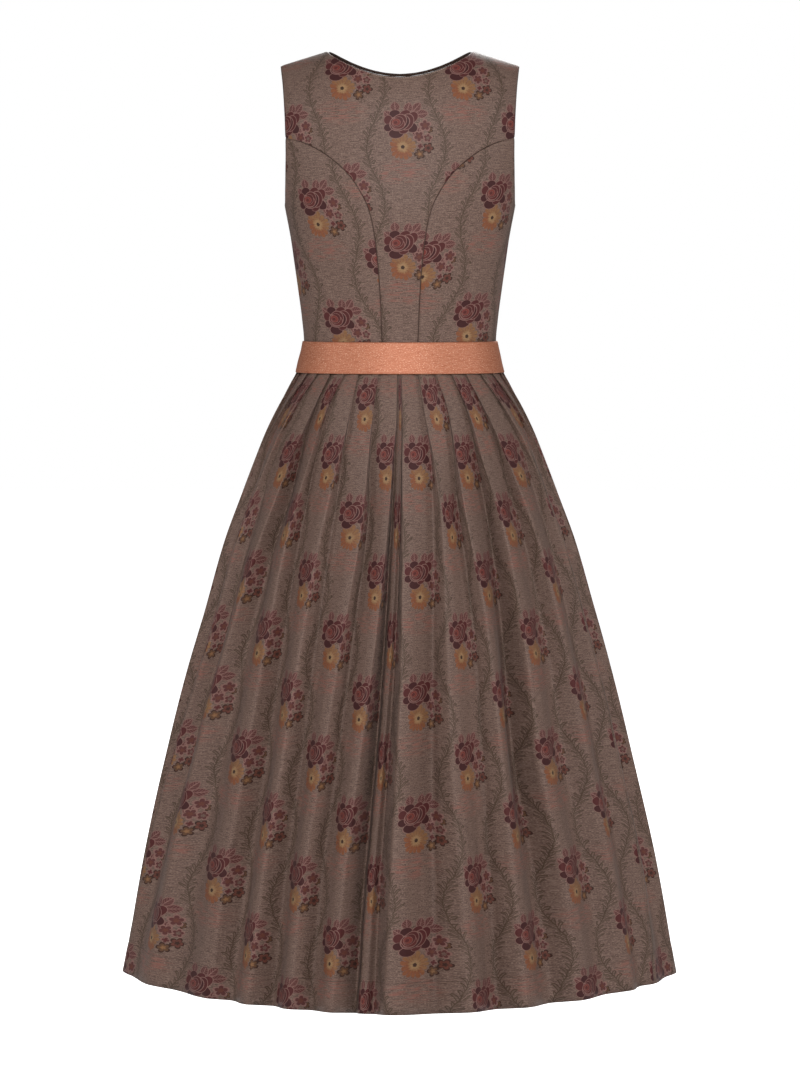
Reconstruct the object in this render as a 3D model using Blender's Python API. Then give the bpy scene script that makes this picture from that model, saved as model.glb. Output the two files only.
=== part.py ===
"""Sleeveless midi dress with princess-seamed bodice, waist belt and knife-pleated skirt.

Units are metres, +Z is up, the wearer faces +Y and has the right hand towards +X. The origin lies
midway between the two neck points, on top of the shoulders. Cloth is kept as a filled-out shell.
"""

import math

import bmesh
import bpy
import numpy as np

# ---- driving sizes, in metres ------------------------------------------------------------------
BODICE_WALL = 0.0018
SKIRT_WALL = 0.0016
BELT_WALL = 0.0013
SEAM_GAP = 0.0003
PIPING_RADIUS = 0.0015
PIPING_SIDES = 8
PIPING_GAP = 0.0005  # between the neck edge and its cord

NECK_HALF = 0.0935  # half the distance between the neck points
SHOULDER_TIP_X = 0.1507
SHOULDER_TIP_Z = -0.0175
NECK_RISE = 0.018  # how far the shoulder line would climb on to the middle of the neck
YOKE_Z = -0.1090  # above this height the bodice turns over the shoulder
UNDERARM_Z = -0.1955
BODICE_BOTTOM_Z = -0.3862

CLOTH_ROUND = 2.10  # skirt cloth round the waist before pleating
SIDE_SEAM_C = 0.440  # cloth from the centre back to each side seam of the skirt
INNER_FOLD = 0.0255  # cloth between a pleat's outer edge and its inner fold

# Bodice sections: height, half width, back depth, front depth, exponent of the section curve
BODICE_SECTIONS = (
    (-0.1090, 0.1598, 0.0940, 0.0875, 2.40),
    (-0.1500, 0.1535, 0.1010, 0.0970, 2.40),
    (-0.1800, 0.1482, 0.1035, 0.1040, 2.40),
    (-0.1955, 0.1455, 0.1040, 0.1075, 2.38),
    (-0.2360, 0.1380, 0.1010, 0.1150, 2.34),
    (-0.2610, 0.1345, 0.0975, 0.1150, 2.30),
    (-0.2970, 0.1295, 0.0910, 0.1070, 2.26),
    (-0.3370, 0.1244, 0.0850, 0.0970, 2.22),
    (-0.3637, 0.1222, 0.0825, 0.0915, 2.20),
    (-0.3862, 0.1250, 0.0852, 0.0940, 2.17),
)
BUST_OUT = 0.013
BUST_X = 0.068
BUST_Z = -0.238
BUST_SPREAD_X = 0.036
BUST_SPREAD_Z = 0.050

# Armhole edge seen from behind: height, distance from the centre
ARMHOLE = (
    (-0.0175, 0.1507),
    (-0.0480, 0.1470),
    (-0.0800, 0.1448),
    (-0.1090, 0.1434),
    (-0.1500, 0.1438),
    (-0.1800, 0.1453),
    (-0.1925, 0.1456),
    (-0.1955, 0.1455),
)
# Curved back seams: height, distance from the centre
BACK_SEAM = (
    (-0.1090, 0.1434),
    (-0.1165, 0.1207),
    (-0.1315, 0.0927),
    (-0.1495, 0.0711),
    (-0.1725, 0.0525),
    (-0.2065, 0.0367),
    (-0.2360, 0.0310),
    (-0.2620, 0.0279),
    (-0.3070, 0.0246),
    (-0.3680, 0.0221),
    (-0.3862, 0.0216),
)
# Curved front seams over the bust: height, distance from the centre
FRONT_SEAM = (
    (-0.1090, 0.1434),
    (-0.1190, 0.1250),
    (-0.1345, 0.1090),
    (-0.1570, 0.0960),
    (-0.1900, 0.0855),
    (-0.2250, 0.0790),
    (-0.2550, 0.0735),
    (-0.3070, 0.0630),
    (-0.3680, 0.0540),
    (-0.3862, 0.0525),
)
BACK_BEND_Z = -0.173  # where the back seam turns from the waist towards the armhole
FRONT_BEND_Z = -0.175
# Necklines: distance from the centre, height
BACK_NECK = (
    (0.0000, -0.0364),
    (0.0180, -0.0349),
    (0.0340, -0.0314),
    (0.0490, -0.0262),
    (0.0630, -0.0198),
    (0.0760, -0.0124),
    (0.0860, -0.0058),
    (0.0935, 0.0000),
)
FRONT_NECK = (
    (0.0000, -0.1650),
    (0.0280, -0.1630),
    (0.0520, -0.1540),
    (0.0680, -0.1380),
    (0.0790, -0.1120),
    (0.0855, -0.0780),
    (0.0905, -0.0370),
    (0.0935, 0.0000),
)
NECK_PULL = 5  # how fast the back panel's rows leave the shape of the neckline below it
STRAP_COLUMNS = 4  # panel columns between the neck point and the shoulder tip
# Heights of the bodice rows from the waist to the bend, on the curved seams and at the side seam
SEAM_ROWS = (-0.3862, -0.3637, -0.3370, -0.3120, -0.2870, -0.2620, -0.2380, -0.2150, -0.1950)
SIDE_ROWS = (-0.3862, -0.3637, -0.3300, -0.2900, -0.2450, -0.1955)
ARMHOLE_STEPS = (0.08, 0.35, 0.70, 1.0)  # side panel rows between the underarm and the seam
BEND_COLUMNS = 6  # rows of a centre panel, and columns of a side panel, along the bent part
YOKE_ROWS = 6
NECK_ROW = 8  # row of the front panels where the centre front edge ends and the neckline starts
FRONT_COLUMNS = 10
FIELD_STEP = 2e-5  # reach of the differences that give a surface normal

# Skirt outline: height, half width, back depth, front depth, exponent of the section curve
SKIRT_SECTIONS = (
    (-0.3865, 0.1268, 0.0868, 0.0955, 2.16),
    (-0.4031, 0.1312, 0.0912, 0.0995, 2.15),
    (-0.4180, 0.1395, 0.0985, 0.1060, 2.13),
    (-0.4400, 0.1520, 0.1060, 0.1140, 2.11),
    (-0.4740, 0.1690, 0.1150, 0.1235, 2.08),
    (-0.5153, 0.1858, 0.1250, 0.1340, 2.04),
    (-0.5600, 0.2032, 0.1365, 0.1450, 1.99),
    (-0.6179, 0.2253, 0.1520, 0.1600, 1.94),
    (-0.6950, 0.2485, 0.1715, 0.1790, 1.87),
    (-0.7850, 0.2748, 0.1880, 0.1965, 1.81),
    (-0.9000, 0.3030, 0.2060, 0.2160, 1.76),
    (-1.0300, 0.3330, 0.2225, 0.2340, 1.72),
    (-1.1755, 0.3605, 0.2385, 0.2510, 1.68),
)
# Heights of the columns in the two pleat tables
PLEAT_HEIGHTS = (-0.403, -0.450, -0.510, -0.580, -0.720, -0.870, -1.020, -1.1755)
# Pleats right of the centre back. Columns: cloth to the fold edge, then the edge's place at each
# height as a share of a quarter girth (0 centre back, 1 side, 2 centre front)
RIGHT_PLEATS = (
    (0.052, 0.010, 0.015, 0.013, 0.012, 0.008, -0.006, -0.024, -0.036),
    (0.127, 0.124, 0.142, 0.172, 0.185, 0.172, 0.168, 0.180, 0.188),
    (0.212, 0.248, 0.285, 0.291, 0.300, 0.330, 0.335, 0.340, 0.350),
    (0.287, 0.365, 0.408, 0.432, 0.465, 0.475, 0.470, 0.505, 0.520),
    (0.364, 0.474, 0.525, 0.580, 0.625, 0.655, 0.665, 0.685, 0.700),
    (0.440, 0.600, 0.690, 0.770, 0.790, 0.800, 0.815, 0.825, 0.800),
    (0.514, 0.728, 0.825, 0.890, 0.910, 0.925, 0.940, 0.950, 0.940),
    (0.582, 0.860, 0.950, 1.010, 1.030, 1.045, 1.055, 1.060, 1.060),
    (0.650, 1.000, 1.080, 1.130, 1.150, 1.165, 1.175, 1.180, 1.180),
    (0.718, 1.145, 1.210, 1.255, 1.275, 1.290, 1.300, 1.305, 1.310),
    (0.786, 1.290, 1.345, 1.385, 1.405, 1.420, 1.430, 1.435, 1.440),
    (0.854, 1.440, 1.485, 1.520, 1.535, 1.550, 1.560, 1.565, 1.570),
    (0.922, 1.600, 1.635, 1.660, 1.675, 1.690, 1.700, 1.705, 1.710),
    (0.990, 1.780, 1.805, 1.825, 1.835, 1.850, 1.860, 1.865, 1.870),
)
LEFT_PLEATS = (
    (0.061, 0.021, 0.020, 0.037, 0.052, 0.088, 0.130, 0.165, 0.185),
    (0.133, 0.149, 0.157, 0.162, 0.168, 0.212, 0.252, 0.288, 0.305),
    (0.204, 0.292, 0.294, 0.315, 0.342, 0.366, 0.388, 0.415, 0.430),
    (0.285, 0.398, 0.447, 0.475, 0.500, 0.512, 0.526, 0.548, 0.560),
    (0.362, 0.508, 0.540, 0.590, 0.632, 0.690, 0.735, 0.770, 0.790),
    (0.440, 0.623, 0.700, 0.760, 0.790, 0.805, 0.875, 0.940, 0.960),
    (0.512, 0.727, 0.810, 0.880, 0.910, 0.935, 0.980, 1.020, 1.035),
    (0.582, 0.860, 0.940, 1.000, 1.025, 1.050, 1.080, 1.105, 1.110),
    (0.650, 1.000, 1.075, 1.125, 1.150, 1.170, 1.190, 1.205, 1.210),
    (0.718, 1.145, 1.210, 1.255, 1.275, 1.295, 1.310, 1.320, 1.325),
    (0.786, 1.290, 1.345, 1.385, 1.405, 1.420, 1.435, 1.440, 1.445),
    (0.854, 1.440, 1.485, 1.520, 1.540, 1.550, 1.560, 1.565, 1.570),
    (0.922, 1.600, 1.635, 1.660, 1.675, 1.690, 1.700, 1.705, 1.710),
    (0.990, 1.780, 1.805, 1.825, 1.835, 1.850, 1.860, 1.865, 1.870),
)
# Fold depths of each pleat, right then left of the centre back.
# Columns: at the waist, at the hip, at the knee, at the hem
RIGHT_DEPTHS = (
    (0.0034, 0.0080, 0.0150, 0.0190),
    (0.0036, 0.0085, 0.0150, 0.0210),
    (0.0036, 0.0080, 0.0110, 0.0190),
    (0.0038, 0.0120, 0.0200, 0.0170),
    (0.0036, 0.0090, 0.0110, 0.0120),
    (0.0034, 0.0070, 0.0090, 0.0120),
    (0.0034, 0.0060, 0.0080, 0.0120),
    (0.0034, 0.0070, 0.0110, 0.0160),
    (0.0034, 0.0080, 0.0130, 0.0180),
    (0.0034, 0.0080, 0.0120, 0.0170),
    (0.0036, 0.0090, 0.0150, 0.0200),
    (0.0034, 0.0080, 0.0130, 0.0180),
    (0.0036, 0.0090, 0.0150, 0.0210),
    (0.0034, 0.0080, 0.0130, 0.0180),
)
LEFT_DEPTHS = (
    (0.0036, 0.0100, 0.0200, 0.0240),
    (0.0036, 0.0085, 0.0110, 0.0150),
    (0.0036, 0.0080, 0.0120, 0.0180),
    (0.0034, 0.0090, 0.0130, 0.0150),
    (0.0038, 0.0120, 0.0110, 0.0130),
    (0.0034, 0.0060, 0.0090, 0.0110),
    (0.0034, 0.0060, 0.0090, 0.0130),
    (0.0034, 0.0080, 0.0120, 0.0170),
    (0.0034, 0.0070, 0.0110, 0.0160),
    (0.0036, 0.0090, 0.0150, 0.0210),
    (0.0034, 0.0080, 0.0120, 0.0170),
    (0.0036, 0.0080, 0.0140, 0.0190),
    (0.0034, 0.0090, 0.0150, 0.0200),
    (0.0034, 0.0080, 0.0130, 0.0180),
)
DEPTH_HEIGHTS = (-0.403, -0.580, -0.870, -1.1755)
# How far the inner fold lies from the fold edge, as a share of the way to the next edge
FOLD_LEAD = (0.05, 0.07, 0.10, 0.16, 0.24, 0.30, 0.34, 0.36)
OPEN_LEAD = 0.30  # from this lead on a pleat is a round wave
FACE_STEPS = (0.25, 0.50, 0.75)
GAP_STEPS = (0.333, 0.667)  # cloth points across the inverted gap at the centre back
GAP_CLOTH_R = 0.0265
GAP_CLOTH_L = -0.0355
GAP_INSET = (0.05, 0.30)  # gap's inset behind its two edges, closed and open, as a share of it
GAP_LIFT = 0.35  # how far the open gap's middle comes forward
NORMAL_REACH = 0.02  # share of a quarter girth that a ring's direction is taken over
MITER_LIMIT = 0.6

# Belt sections: height, half width, back depth, front depth, exponent of the section curve
BELT_SECTIONS = (
    (-0.3637, 0.1243, 0.0849, 0.0941, 2.20),
    (-0.3740, 0.1261, 0.0866, 0.0958, 2.18),
    (-0.3862, 0.1290, 0.0894, 0.0985, 2.16),
    (-0.3950, 0.1312, 0.0913, 0.0999, 2.15),
    (-0.4031, 0.1334, 0.0934, 0.1018, 2.15),
)
BELT_QUARTER = 20

CLOTH_ROUGHNESS = 0.75
PIPING_ROUGHNESS = 0.60
BELT_ROUGHNESS = 0.35
BEND_SAMPLES = 60  # points that measure the bent part of a seam
GIRTH_SAMPLES = 500  # points that measure a quarter of the skirt's outline
GROUND_COLOUR = (0.190, 0.140, 0.118, 1.0)
PIPING_COLOUR = (0.070, 0.045, 0.035, 1.0)
BELT_COLOUR = (0.560, 0.225, 0.120, 1.0)
COLLECTION = "pleated_dress"


# ---- curves ------------------------------------------------------------------------------------
def smooth_table(xs, ys, x):
    """Monotone cubic through a table whose xs rise."""
    xs = np.asarray(xs, float)
    ys = np.asarray(ys, float)
    h = np.diff(xs)
    d = np.diff(ys) / h
    m = np.zeros(len(xs))
    m[0] = d[0]
    m[-1] = d[-1]
    for i in range(1, len(xs) - 1):
        if d[i - 1] * d[i] > 0:
            w1 = 2 * h[i] + h[i - 1]
            w2 = h[i] + 2 * h[i - 1]
            m[i] = (w1 + w2) / (w1 / d[i - 1] + w2 / d[i])
    x = np.clip(x, xs[0], xs[-1])
    i = np.clip(np.searchsorted(xs, x) - 1, 0, len(h) - 1)
    t = (x - xs[i]) / h[i]
    a = (1 + 2 * t) * (1 - t) ** 2
    b = t * (1 - t) ** 2
    c = t * t * (3 - 2 * t)
    e = t * t * (t - 1)
    return a * ys[i] + b * h[i] * m[i] + c * ys[i + 1] + e * h[i] * m[i + 1]


def section_at(table, z):
    """Half width, back depth, front depth and exponent at a height."""
    rows = np.array(table)[::-1]
    return [float(smooth_table(rows[:, 0], rows[:, k], z)) for k in range(1, 5)]


def by_height(table, z):
    rows = np.array(sorted(table))
    return float(smooth_table(rows[:, 0], rows[:, 1], z))


def shoulder_z(x):
    """Height of the shoulder line, carried on over the neck as a plain rise."""
    q = abs(x)
    if q < NECK_HALF:
        return NECK_RISE * (1 - (q / NECK_HALF) ** 2)
    return SHOULDER_TIP_Z * (q - NECK_HALF) / (SHOULDER_TIP_X - NECK_HALF)


def bust(x, z):
    u = (abs(x) - BUST_X) / BUST_SPREAD_X
    v = (z - BUST_Z) / BUST_SPREAD_Z
    return BUST_OUT * math.exp(-u * u - v * v)


def bodice_depth(x, z, front):
    """Depth scale of the bodice section at a height, with the bust in front."""
    a, back, fore, n = section_at(BODICE_SECTIONS, min(z, YOKE_Z))
    depth = fore + bust(x, z) if front else back
    return a, depth, n


def bodice_field(p, front):
    """Zero on the bodice surface, rising outwards."""
    x, y, z = p
    a, depth, n = bodice_depth(x, z, front)
    if z <= YOKE_Z:
        return abs(x / a) ** n + abs(y / depth) ** n - 1
    reach = depth * max(1 - abs(x / a) ** n, 1e-9) ** (1 / n)
    return (y / reach) ** 2 + ((z - YOKE_Z) / (shoulder_z(x) - YOKE_Z)) ** 2 - 1


def bodice_point(x, z, front):
    a, depth, n = bodice_depth(x, z, front)
    reach = depth * max(1 - min(abs(x / a), 1.0) ** n, 0.0) ** (1 / n)
    if z > YOKE_Z:
        rise = min((z - YOKE_Z) / (shoulder_z(x) - YOKE_Z), 1.0)
        reach *= math.sqrt(max(1 - rise * rise, 0.0))
    return np.array([x, reach if front else -reach, z])


def bodice_normal(p, front):
    g = np.zeros(3)
    for k in range(3):
        hi = np.array(p, float)
        lo = np.array(p, float)
        hi[k] += FIELD_STEP
        lo[k] -= FIELD_STEP
        g[k] = bodice_field(hi, front) - bodice_field(lo, front)
    return g / np.linalg.norm(g)


# ---- solids ------------------------------------------------------------------------------------
def make_object(name, verts, faces, colour, roughness):
    bm = bmesh.new()
    made = [bm.verts.new(v) for v in verts]
    for f in faces:
        bm.faces.new([made[i] for i in f])
    bmesh.ops.recalc_face_normals(bm, faces=bm.faces)
    bmesh.ops.triangulate(bm, faces=bm.faces, quad_method="SHORT_EDGE")
    mesh = bpy.data.meshes.new(name)
    bm.to_mesh(mesh)
    bm.free()
    mat = bpy.data.materials.new(name + "_cloth")
    mat.use_nodes = True
    shader = mat.node_tree.nodes["Principled BSDF"]
    shader.inputs["Base Color"].default_value = colour
    shader.inputs["Roughness"].default_value = roughness
    mesh.materials.append(mat)
    obj = bpy.data.objects.new(name, mesh)
    part.objects.link(obj)
    return obj


def shell(name, outer, inner, colour, roughness, closed=False):
    """Closed solid between two grids of points, open or joined round in the column direction."""
    rows, cols = outer.shape[:2]
    verts = np.concatenate([outer.reshape(-1, 3), inner.reshape(-1, 3)])
    shift = rows * cols

    def at(r, c, side):
        return r * cols + c % cols + side * shift

    faces = []
    for r in range(rows - 1):
        for c in range(cols if closed else cols - 1):
            faces.append((at(r, c, 0), at(r, c + 1, 0), at(r + 1, c + 1, 0), at(r + 1, c, 0)))
            faces.append((at(r, c, 1), at(r + 1, c, 1), at(r + 1, c + 1, 1), at(r, c + 1, 1)))
    for c in range(cols if closed else cols - 1):
        for r in (0, rows - 1):
            faces.append((at(r, c, 0), at(r, c, 1), at(r, c + 1, 1), at(r, c + 1, 0)))
    if not closed:
        for r in range(rows - 1):
            for c in (0, cols - 1):
                faces.append((at(r, c, 0), at(r + 1, c, 0), at(r + 1, c, 1), at(r, c, 1)))
    return make_object(name, verts, faces, colour, roughness)


def inset_edge(points, normals, edge, inward):
    """Draws one edge line of a grid back from its seam by half the gap, within the cloth."""
    line = points[edge]
    near = points[inward]
    tangent = np.gradient(line, axis=0)
    across = np.cross(normals[edge], tangent)
    across /= np.linalg.norm(across, axis=1)[:, None]
    sign = np.sign(np.sum(across * (near - line), axis=1))
    return across * sign[:, None] * SEAM_GAP / 2


EDGES = {
    "first_row": (np.s_[0, :], np.s_[1, :]),
    "last_row": (np.s_[-1, :], np.s_[-2, :]),
    "first_column": (np.s_[:, 0], np.s_[:, 1]),
    "last_column": (np.s_[:, -1], np.s_[:, -2]),
    "front_centre_first": (np.s_[:NECK_ROW + 1, 0], np.s_[:NECK_ROW + 1, 1]),
    "front_centre_last": (np.s_[:NECK_ROW + 1, -1], np.s_[:NECK_ROW + 1, -2]),
}


def bodice_panel(name, flat, front, seams):
    """Solid panel from a grid of places (x, z) on the bodice, drawn back at its seams."""
    rows, cols = flat.shape[:2]
    outer = np.zeros((rows, cols, 3))
    normal = np.zeros((rows, cols, 3))
    for r in range(rows):
        for c in range(cols):
            outer[r, c] = bodice_point(flat[r, c, 0], flat[r, c, 1], front)
            normal[r, c] = bodice_normal(outer[r, c], front)
    moved = outer.copy()
    for seam in seams:
        edge, inward = EDGES[seam]
        moved[edge] += inset_edge(outer, normal, edge, inward)
    shell(name, moved, moved - normal * BODICE_WALL, GROUND_COLOUR, CLOTH_ROUGHNESS)
    return outer, normal


# ---- bodice ------------------------------------------------------------------------------------
def seam_places(table, bend_z):
    """Places (x, z) on a curved seam, from the waist to the armhole."""
    rows = np.array(table)
    places = [(by_height(table, z), z) for z in SEAM_ROWS + (bend_z,)]
    fine = np.linspace(bend_z, rows[0, 0], BEND_SAMPLES)
    bent = np.array([(by_height(table, z), z) for z in fine])
    run = np.concatenate([[0], np.cumsum(np.hypot(*np.diff(bent, axis=0).T))])
    for k in range(1, BEND_COLUMNS + 1):
        want = run[-1] * k / BEND_COLUMNS
        places.append((np.interp(want, run, bent[:, 0]), np.interp(want, run, bent[:, 1])))
    return np.array(places)


def outer_edge(seam):
    """Places (x, z) up the outer edge of a centre panel: its seam, then the armhole."""
    turn = np.linspace(0, math.pi / 2, YOKE_ROWS + 1)[1:]
    high = YOKE_Z + (SHOULDER_TIP_Z - YOKE_Z) * np.sin(turn)
    return np.array([tuple(p) for p in seam] + [(by_height(ARMHOLE, z), z) for z in high])


def front_places(seam):
    """Places (x, z) on a front panel: rows from the centre front or neckline to its outer edge."""
    outer = outer_edge(seam)
    neck = np.array(FRONT_NECK)
    run = np.concatenate([[0], np.cumsum(np.hypot(*np.diff(neck, axis=0).T))])
    inner = [(0.0, SEAM_ROWS[0])]
    inner += [(0.0, z) for z in np.linspace(SEAM_ROWS[1], neck[0, 1], NECK_ROW)]
    for want in np.linspace(0, run[-1], len(outer) - NECK_ROW)[1:]:
        inner.append((smooth_table(run, neck[:, 0], want), smooth_table(run, neck[:, 1], want)))
    inner = np.array(inner)[:, None]
    share = np.linspace(0, 1, FRONT_COLUMNS + 1)[None, :, None]
    return inner * (1 - share) + outer[:, None] * share


def centre_places(seam, neck):
    """Places (x, z) on half the back panel: rows up to the shoulder, columns out to its edge."""
    edge = outer_edge(seam)
    top_x = [p[0] for p in neck]
    strap = np.linspace(NECK_HALF, SHOULDER_TIP_X, STRAP_COLUMNS + 1)[1:]
    top_share = np.array(top_x + list(strap)) / SHOULDER_TIP_X
    top_z = np.array([p[1] for p in neck] + [shoulder_z(x) for x in strap])
    plain_share = np.linspace(0, 1, len(top_share))
    reach = (top_z - BODICE_BOTTOM_Z) / (SHOULDER_TIP_Z - BODICE_BOTTOM_Z)
    grid = np.zeros((len(edge), len(top_share), 2))
    for r, (x, z) in enumerate(edge):
        up = min((z - BODICE_BOTTOM_Z) / (YOKE_Z - BODICE_BOTTOM_Z), 1.0)
        share = plain_share + (top_share - plain_share) * up
        pull = ((z - BODICE_BOTTOM_Z) / (SHOULDER_TIP_Z - BODICE_BOTTOM_Z)) ** NECK_PULL
        grid[r, :, 0] = x * share
        grid[r, :, 1] = BODICE_BOTTOM_Z + (z - BODICE_BOTTOM_Z) * (1 + (reach - 1) * pull)
    return grid


def side_places(seam, front):
    """Places on a side panel: the bent part of the seam is its top edge."""
    count = len(SEAM_ROWS) + 1
    bottom_z = np.full(BEND_COLUMNS + 1, BODICE_BOTTOM_Z)
    right_high = UNDERARM_Z + (YOKE_Z - UNDERARM_Z) * np.array(ARMHOLE_STEPS)
    right = [(None, z) for z in SIDE_ROWS] + [(by_height(ARMHOLE, z), z) for z in right_high]
    left = seam[:count]
    top = seam[count - 1:]

    def turn(x, z):
        a, depth, n = bodice_depth(0.0, z, front)
        return math.asin(min(x / a, 1.0) ** (n / 2))

    left_uv = np.array([(turn(x, z), z) for x, z in left])
    right_uv = np.array([(math.pi / 2 if x is None else turn(x, z), z) for x, z in right])
    top_uv = np.array([(turn(x, z), z) for x, z in top])
    bottom_uv = np.linspace(left_uv[0], right_uv[0], BEND_COLUMNS + 1)
    bottom_uv[:, 1] = bottom_z
    grid = np.zeros((count, BEND_COLUMNS + 1, 2))
    for r in range(count):
        v = r / (count - 1)
        for c in range(BEND_COLUMNS + 1):
            u = c / BEND_COLUMNS
            sides = (1 - u) * left_uv[r] + u * right_uv[r]
            ends = (1 - v) * bottom_uv[c] + v * top_uv[c]
            low = (1 - u) * bottom_uv[0] + u * bottom_uv[-1]
            high = (1 - u) * top_uv[0] + u * top_uv[-1]
            t, z = sides + ends - (1 - v) * low - v * high
            a, depth, n = bodice_depth(0.0, z, front)
            grid[r, c] = (a * math.sin(min(t, math.pi / 2)) ** (2 / n), z)
    return grid


def mirrored(grid):
    turned = grid[:, ::-1].copy()
    turned[..., 0] *= -1
    return turned


# ---- skirt -------------------------------------------------------------------------------------
def girth_curve(z):
    """Points of the skirt outline from the centre back round +X to the centre front."""
    a, back, fore, n = section_at(SKIRT_SECTIONS, z)
    t = np.linspace(0, math.pi / 2, GIRTH_SAMPLES)
    x = a * np.sin(t) ** (2 / n)
    behind = np.stack([x, -back * np.cos(t) ** (2 / n)], 1)
    ahead = np.stack([x, fore * np.cos(t) ** (2 / n)], 1)[::-1]
    line = np.concatenate([behind, ahead[1:]])
    run = np.concatenate([[0], np.cumsum(np.hypot(*np.diff(line, axis=0).T))])
    quarter = run[len(behind) - 1]
    share = np.where(run <= quarter, run / quarter, 1 + (run - quarter) / (run[-1] - quarter))
    return line, share


def across_heights(row, z):
    """Value at a height of a row with a column for each of the pleat heights."""
    return float(smooth_table(PLEAT_HEIGHTS[::-1], row[::-1], z))


def half_ring(z, pleats, depths, gap_cloth, gap_share):
    """Cloth, share of girth and depth of each point from the gap to the centre front."""
    lead = across_heights(FOLD_LEAD, z)
    opened = min(lead / OPEN_LEAD, 1)
    depth_z = np.array(DEPTH_HEIGHTS)[::-1]
    edges = [across_heights(row[1:], z) for row in pleats]
    deep = [float(smooth_table(depth_z, row[::-1], z)) for row in depths]
    out = []
    last_c = gap_cloth
    last_s = gap_share
    for k, row in enumerate(pleats):
        fold_c = row[0] - INNER_FOLD
        fold_s = edges[k] - lead * (edges[k] - last_s)
        if k:
            start_c = pleats[k - 1][0]
            for step in FACE_STEPS:
                drop = step + (0.5 - 0.5 * math.cos(math.pi * step) - step) * opened
                share = last_s + (fold_s - last_s) * step
                out.append((start_c + (fold_c - start_c) * step, share, drop * deep[k]))
            out.append((fold_c, fold_s, deep[k]))
        else:
            out.append((fold_c, last_s, deep[k]))
            fold_s = last_s
        out.append((row[0] - INNER_FOLD / 2, (fold_s + edges[k]) / 2, deep[k] / 2))
        out.append((row[0], edges[k], 0.0))
        last_c = row[0]
        last_s = edges[k]
    for step in FACE_STEPS:
        out.append((last_c + (CLOTH_ROUND / 2 - last_c) * step, last_s + (2 - last_s) * step, 0.0))
    return out


def near(s):
    """A share of girth with the ones before and after it that give its direction."""
    return s, min(s + NORMAL_REACH, 2), max(s - NORMAL_REACH, 0)


def skirt_ring(z):
    """One closed ring, from the left centre front over the back to the right: cloth and points."""
    line, share = girth_curve(z)
    right_edge = across_heights(RIGHT_PLEATS[0][1:], z)
    left_edge = -across_heights(LEFT_PLEATS[0][1:], z)
    lead = across_heights(FOLD_LEAD, z)
    opened = min(lead / OPEN_LEAD, 1)
    inset = GAP_INSET[0] + (GAP_INSET[1] - GAP_INSET[0]) * opened
    gap_r = right_edge - inset * (right_edge - left_edge)
    gap_l = left_edge + inset * (right_edge - left_edge)
    right = half_ring(z, RIGHT_PLEATS, RIGHT_DEPTHS, GAP_CLOTH_R, gap_r)
    left = half_ring(z, LEFT_PLEATS, LEFT_DEPTHS, -GAP_CLOTH_L, -gap_l)
    deep_l = left[0][2]
    deep_r = right[0][2]
    ring = [(-c, -s, d) for c, s, d in left[::-1]]
    for step in GAP_STEPS:
        cloth = GAP_CLOTH_L + (GAP_CLOTH_R - GAP_CLOTH_L) * step
        depth = deep_l + (deep_r - deep_l) * step
        ring.append((cloth, gap_l + (gap_r - gap_l) * step, depth * (1 - GAP_LIFT * opened)))
    ring += right
    ring.append((CLOTH_ROUND / 2, 2.0, 0.0))
    points = []
    for c, s, d in ring:
        x, x1, x0 = (np.interp(q, share, line[:, 0]) for q in near(abs(s)))
        y, y1, y0 = (np.interp(q, share, line[:, 1]) for q in near(abs(s)))
        if abs(s) < NORMAL_REACH:
            x0 = -x1
            y0 = y1
        if abs(s) > 2 - NORMAL_REACH:
            x1 = -x0
            y1 = y0
        out = np.array([y1 - y0, x0 - x1])
        out /= np.linalg.norm(out)
        place = np.array([x, y]) - out * d
        points.append((math.copysign(1, s) * place[0], place[1], z))
    return [c for c, s, d in ring], np.array(points)


def ring_inside(points, wall):
    """The ring moved inwards by the wall, square to its two sides at every corner."""
    flat = points[:, :2]
    before = flat - np.roll(flat, 1, axis=0)
    after = np.roll(flat, -1, axis=0) - flat
    before /= np.linalg.norm(before, axis=1)[:, None]
    after /= np.linalg.norm(after, axis=1)[:, None]
    n1 = np.stack([before[:, 1], -before[:, 0]], 1)
    n2 = np.stack([after[:, 1], -after[:, 0]], 1)
    mid = n1 + n2
    mid /= np.linalg.norm(mid, axis=1)[:, None]
    stretch = 1 / np.clip(np.sum(mid * n1, axis=1), MITER_LIMIT, 1)
    inner = points.copy()
    inner[:, :2] -= mid * (wall * stretch)[:, None]
    return inner


def skirt_piece(name, outer, inner, first, last):
    """Panel between two columns of the rings, drawn back from the seam at each end."""
    cols = np.arange(first, last + 1) % outer.shape[1]
    out = outer[:, cols].copy()
    ins = inner[:, cols].copy()
    for end, near in ((0, 1), (-1, -2)):
        way = out[:, near] - out[:, end]
        way[:, 2] = 0
        way /= np.linalg.norm(way, axis=1)[:, None]
        out[:, end] += way * SEAM_GAP / 2
        ins[:, end] += way * SEAM_GAP / 2
    shell(name, out, ins, GROUND_COLOUR, CLOTH_ROUGHNESS)


# ---- belt and piping ---------------------------------------------------------------------------
def belt_rings(inwards):
    rows = []
    for z, a, back, fore, n in BELT_SECTIONS:
        ring = []
        for k in range(4 * BELT_QUARTER):
            t = 2 * math.pi * k / (4 * BELT_QUARTER)
            depth = fore if math.sin(t) > 0 else back
            cx = math.copysign(abs(math.cos(t)) ** (2 / n), math.cos(t))
            cy = math.copysign(abs(math.sin(t)) ** (2 / n), math.sin(t))
            ring.append(((a - inwards) * cx, (depth - inwards) * cy, z))
        rows.append(ring)
    return np.array(rows)


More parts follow.
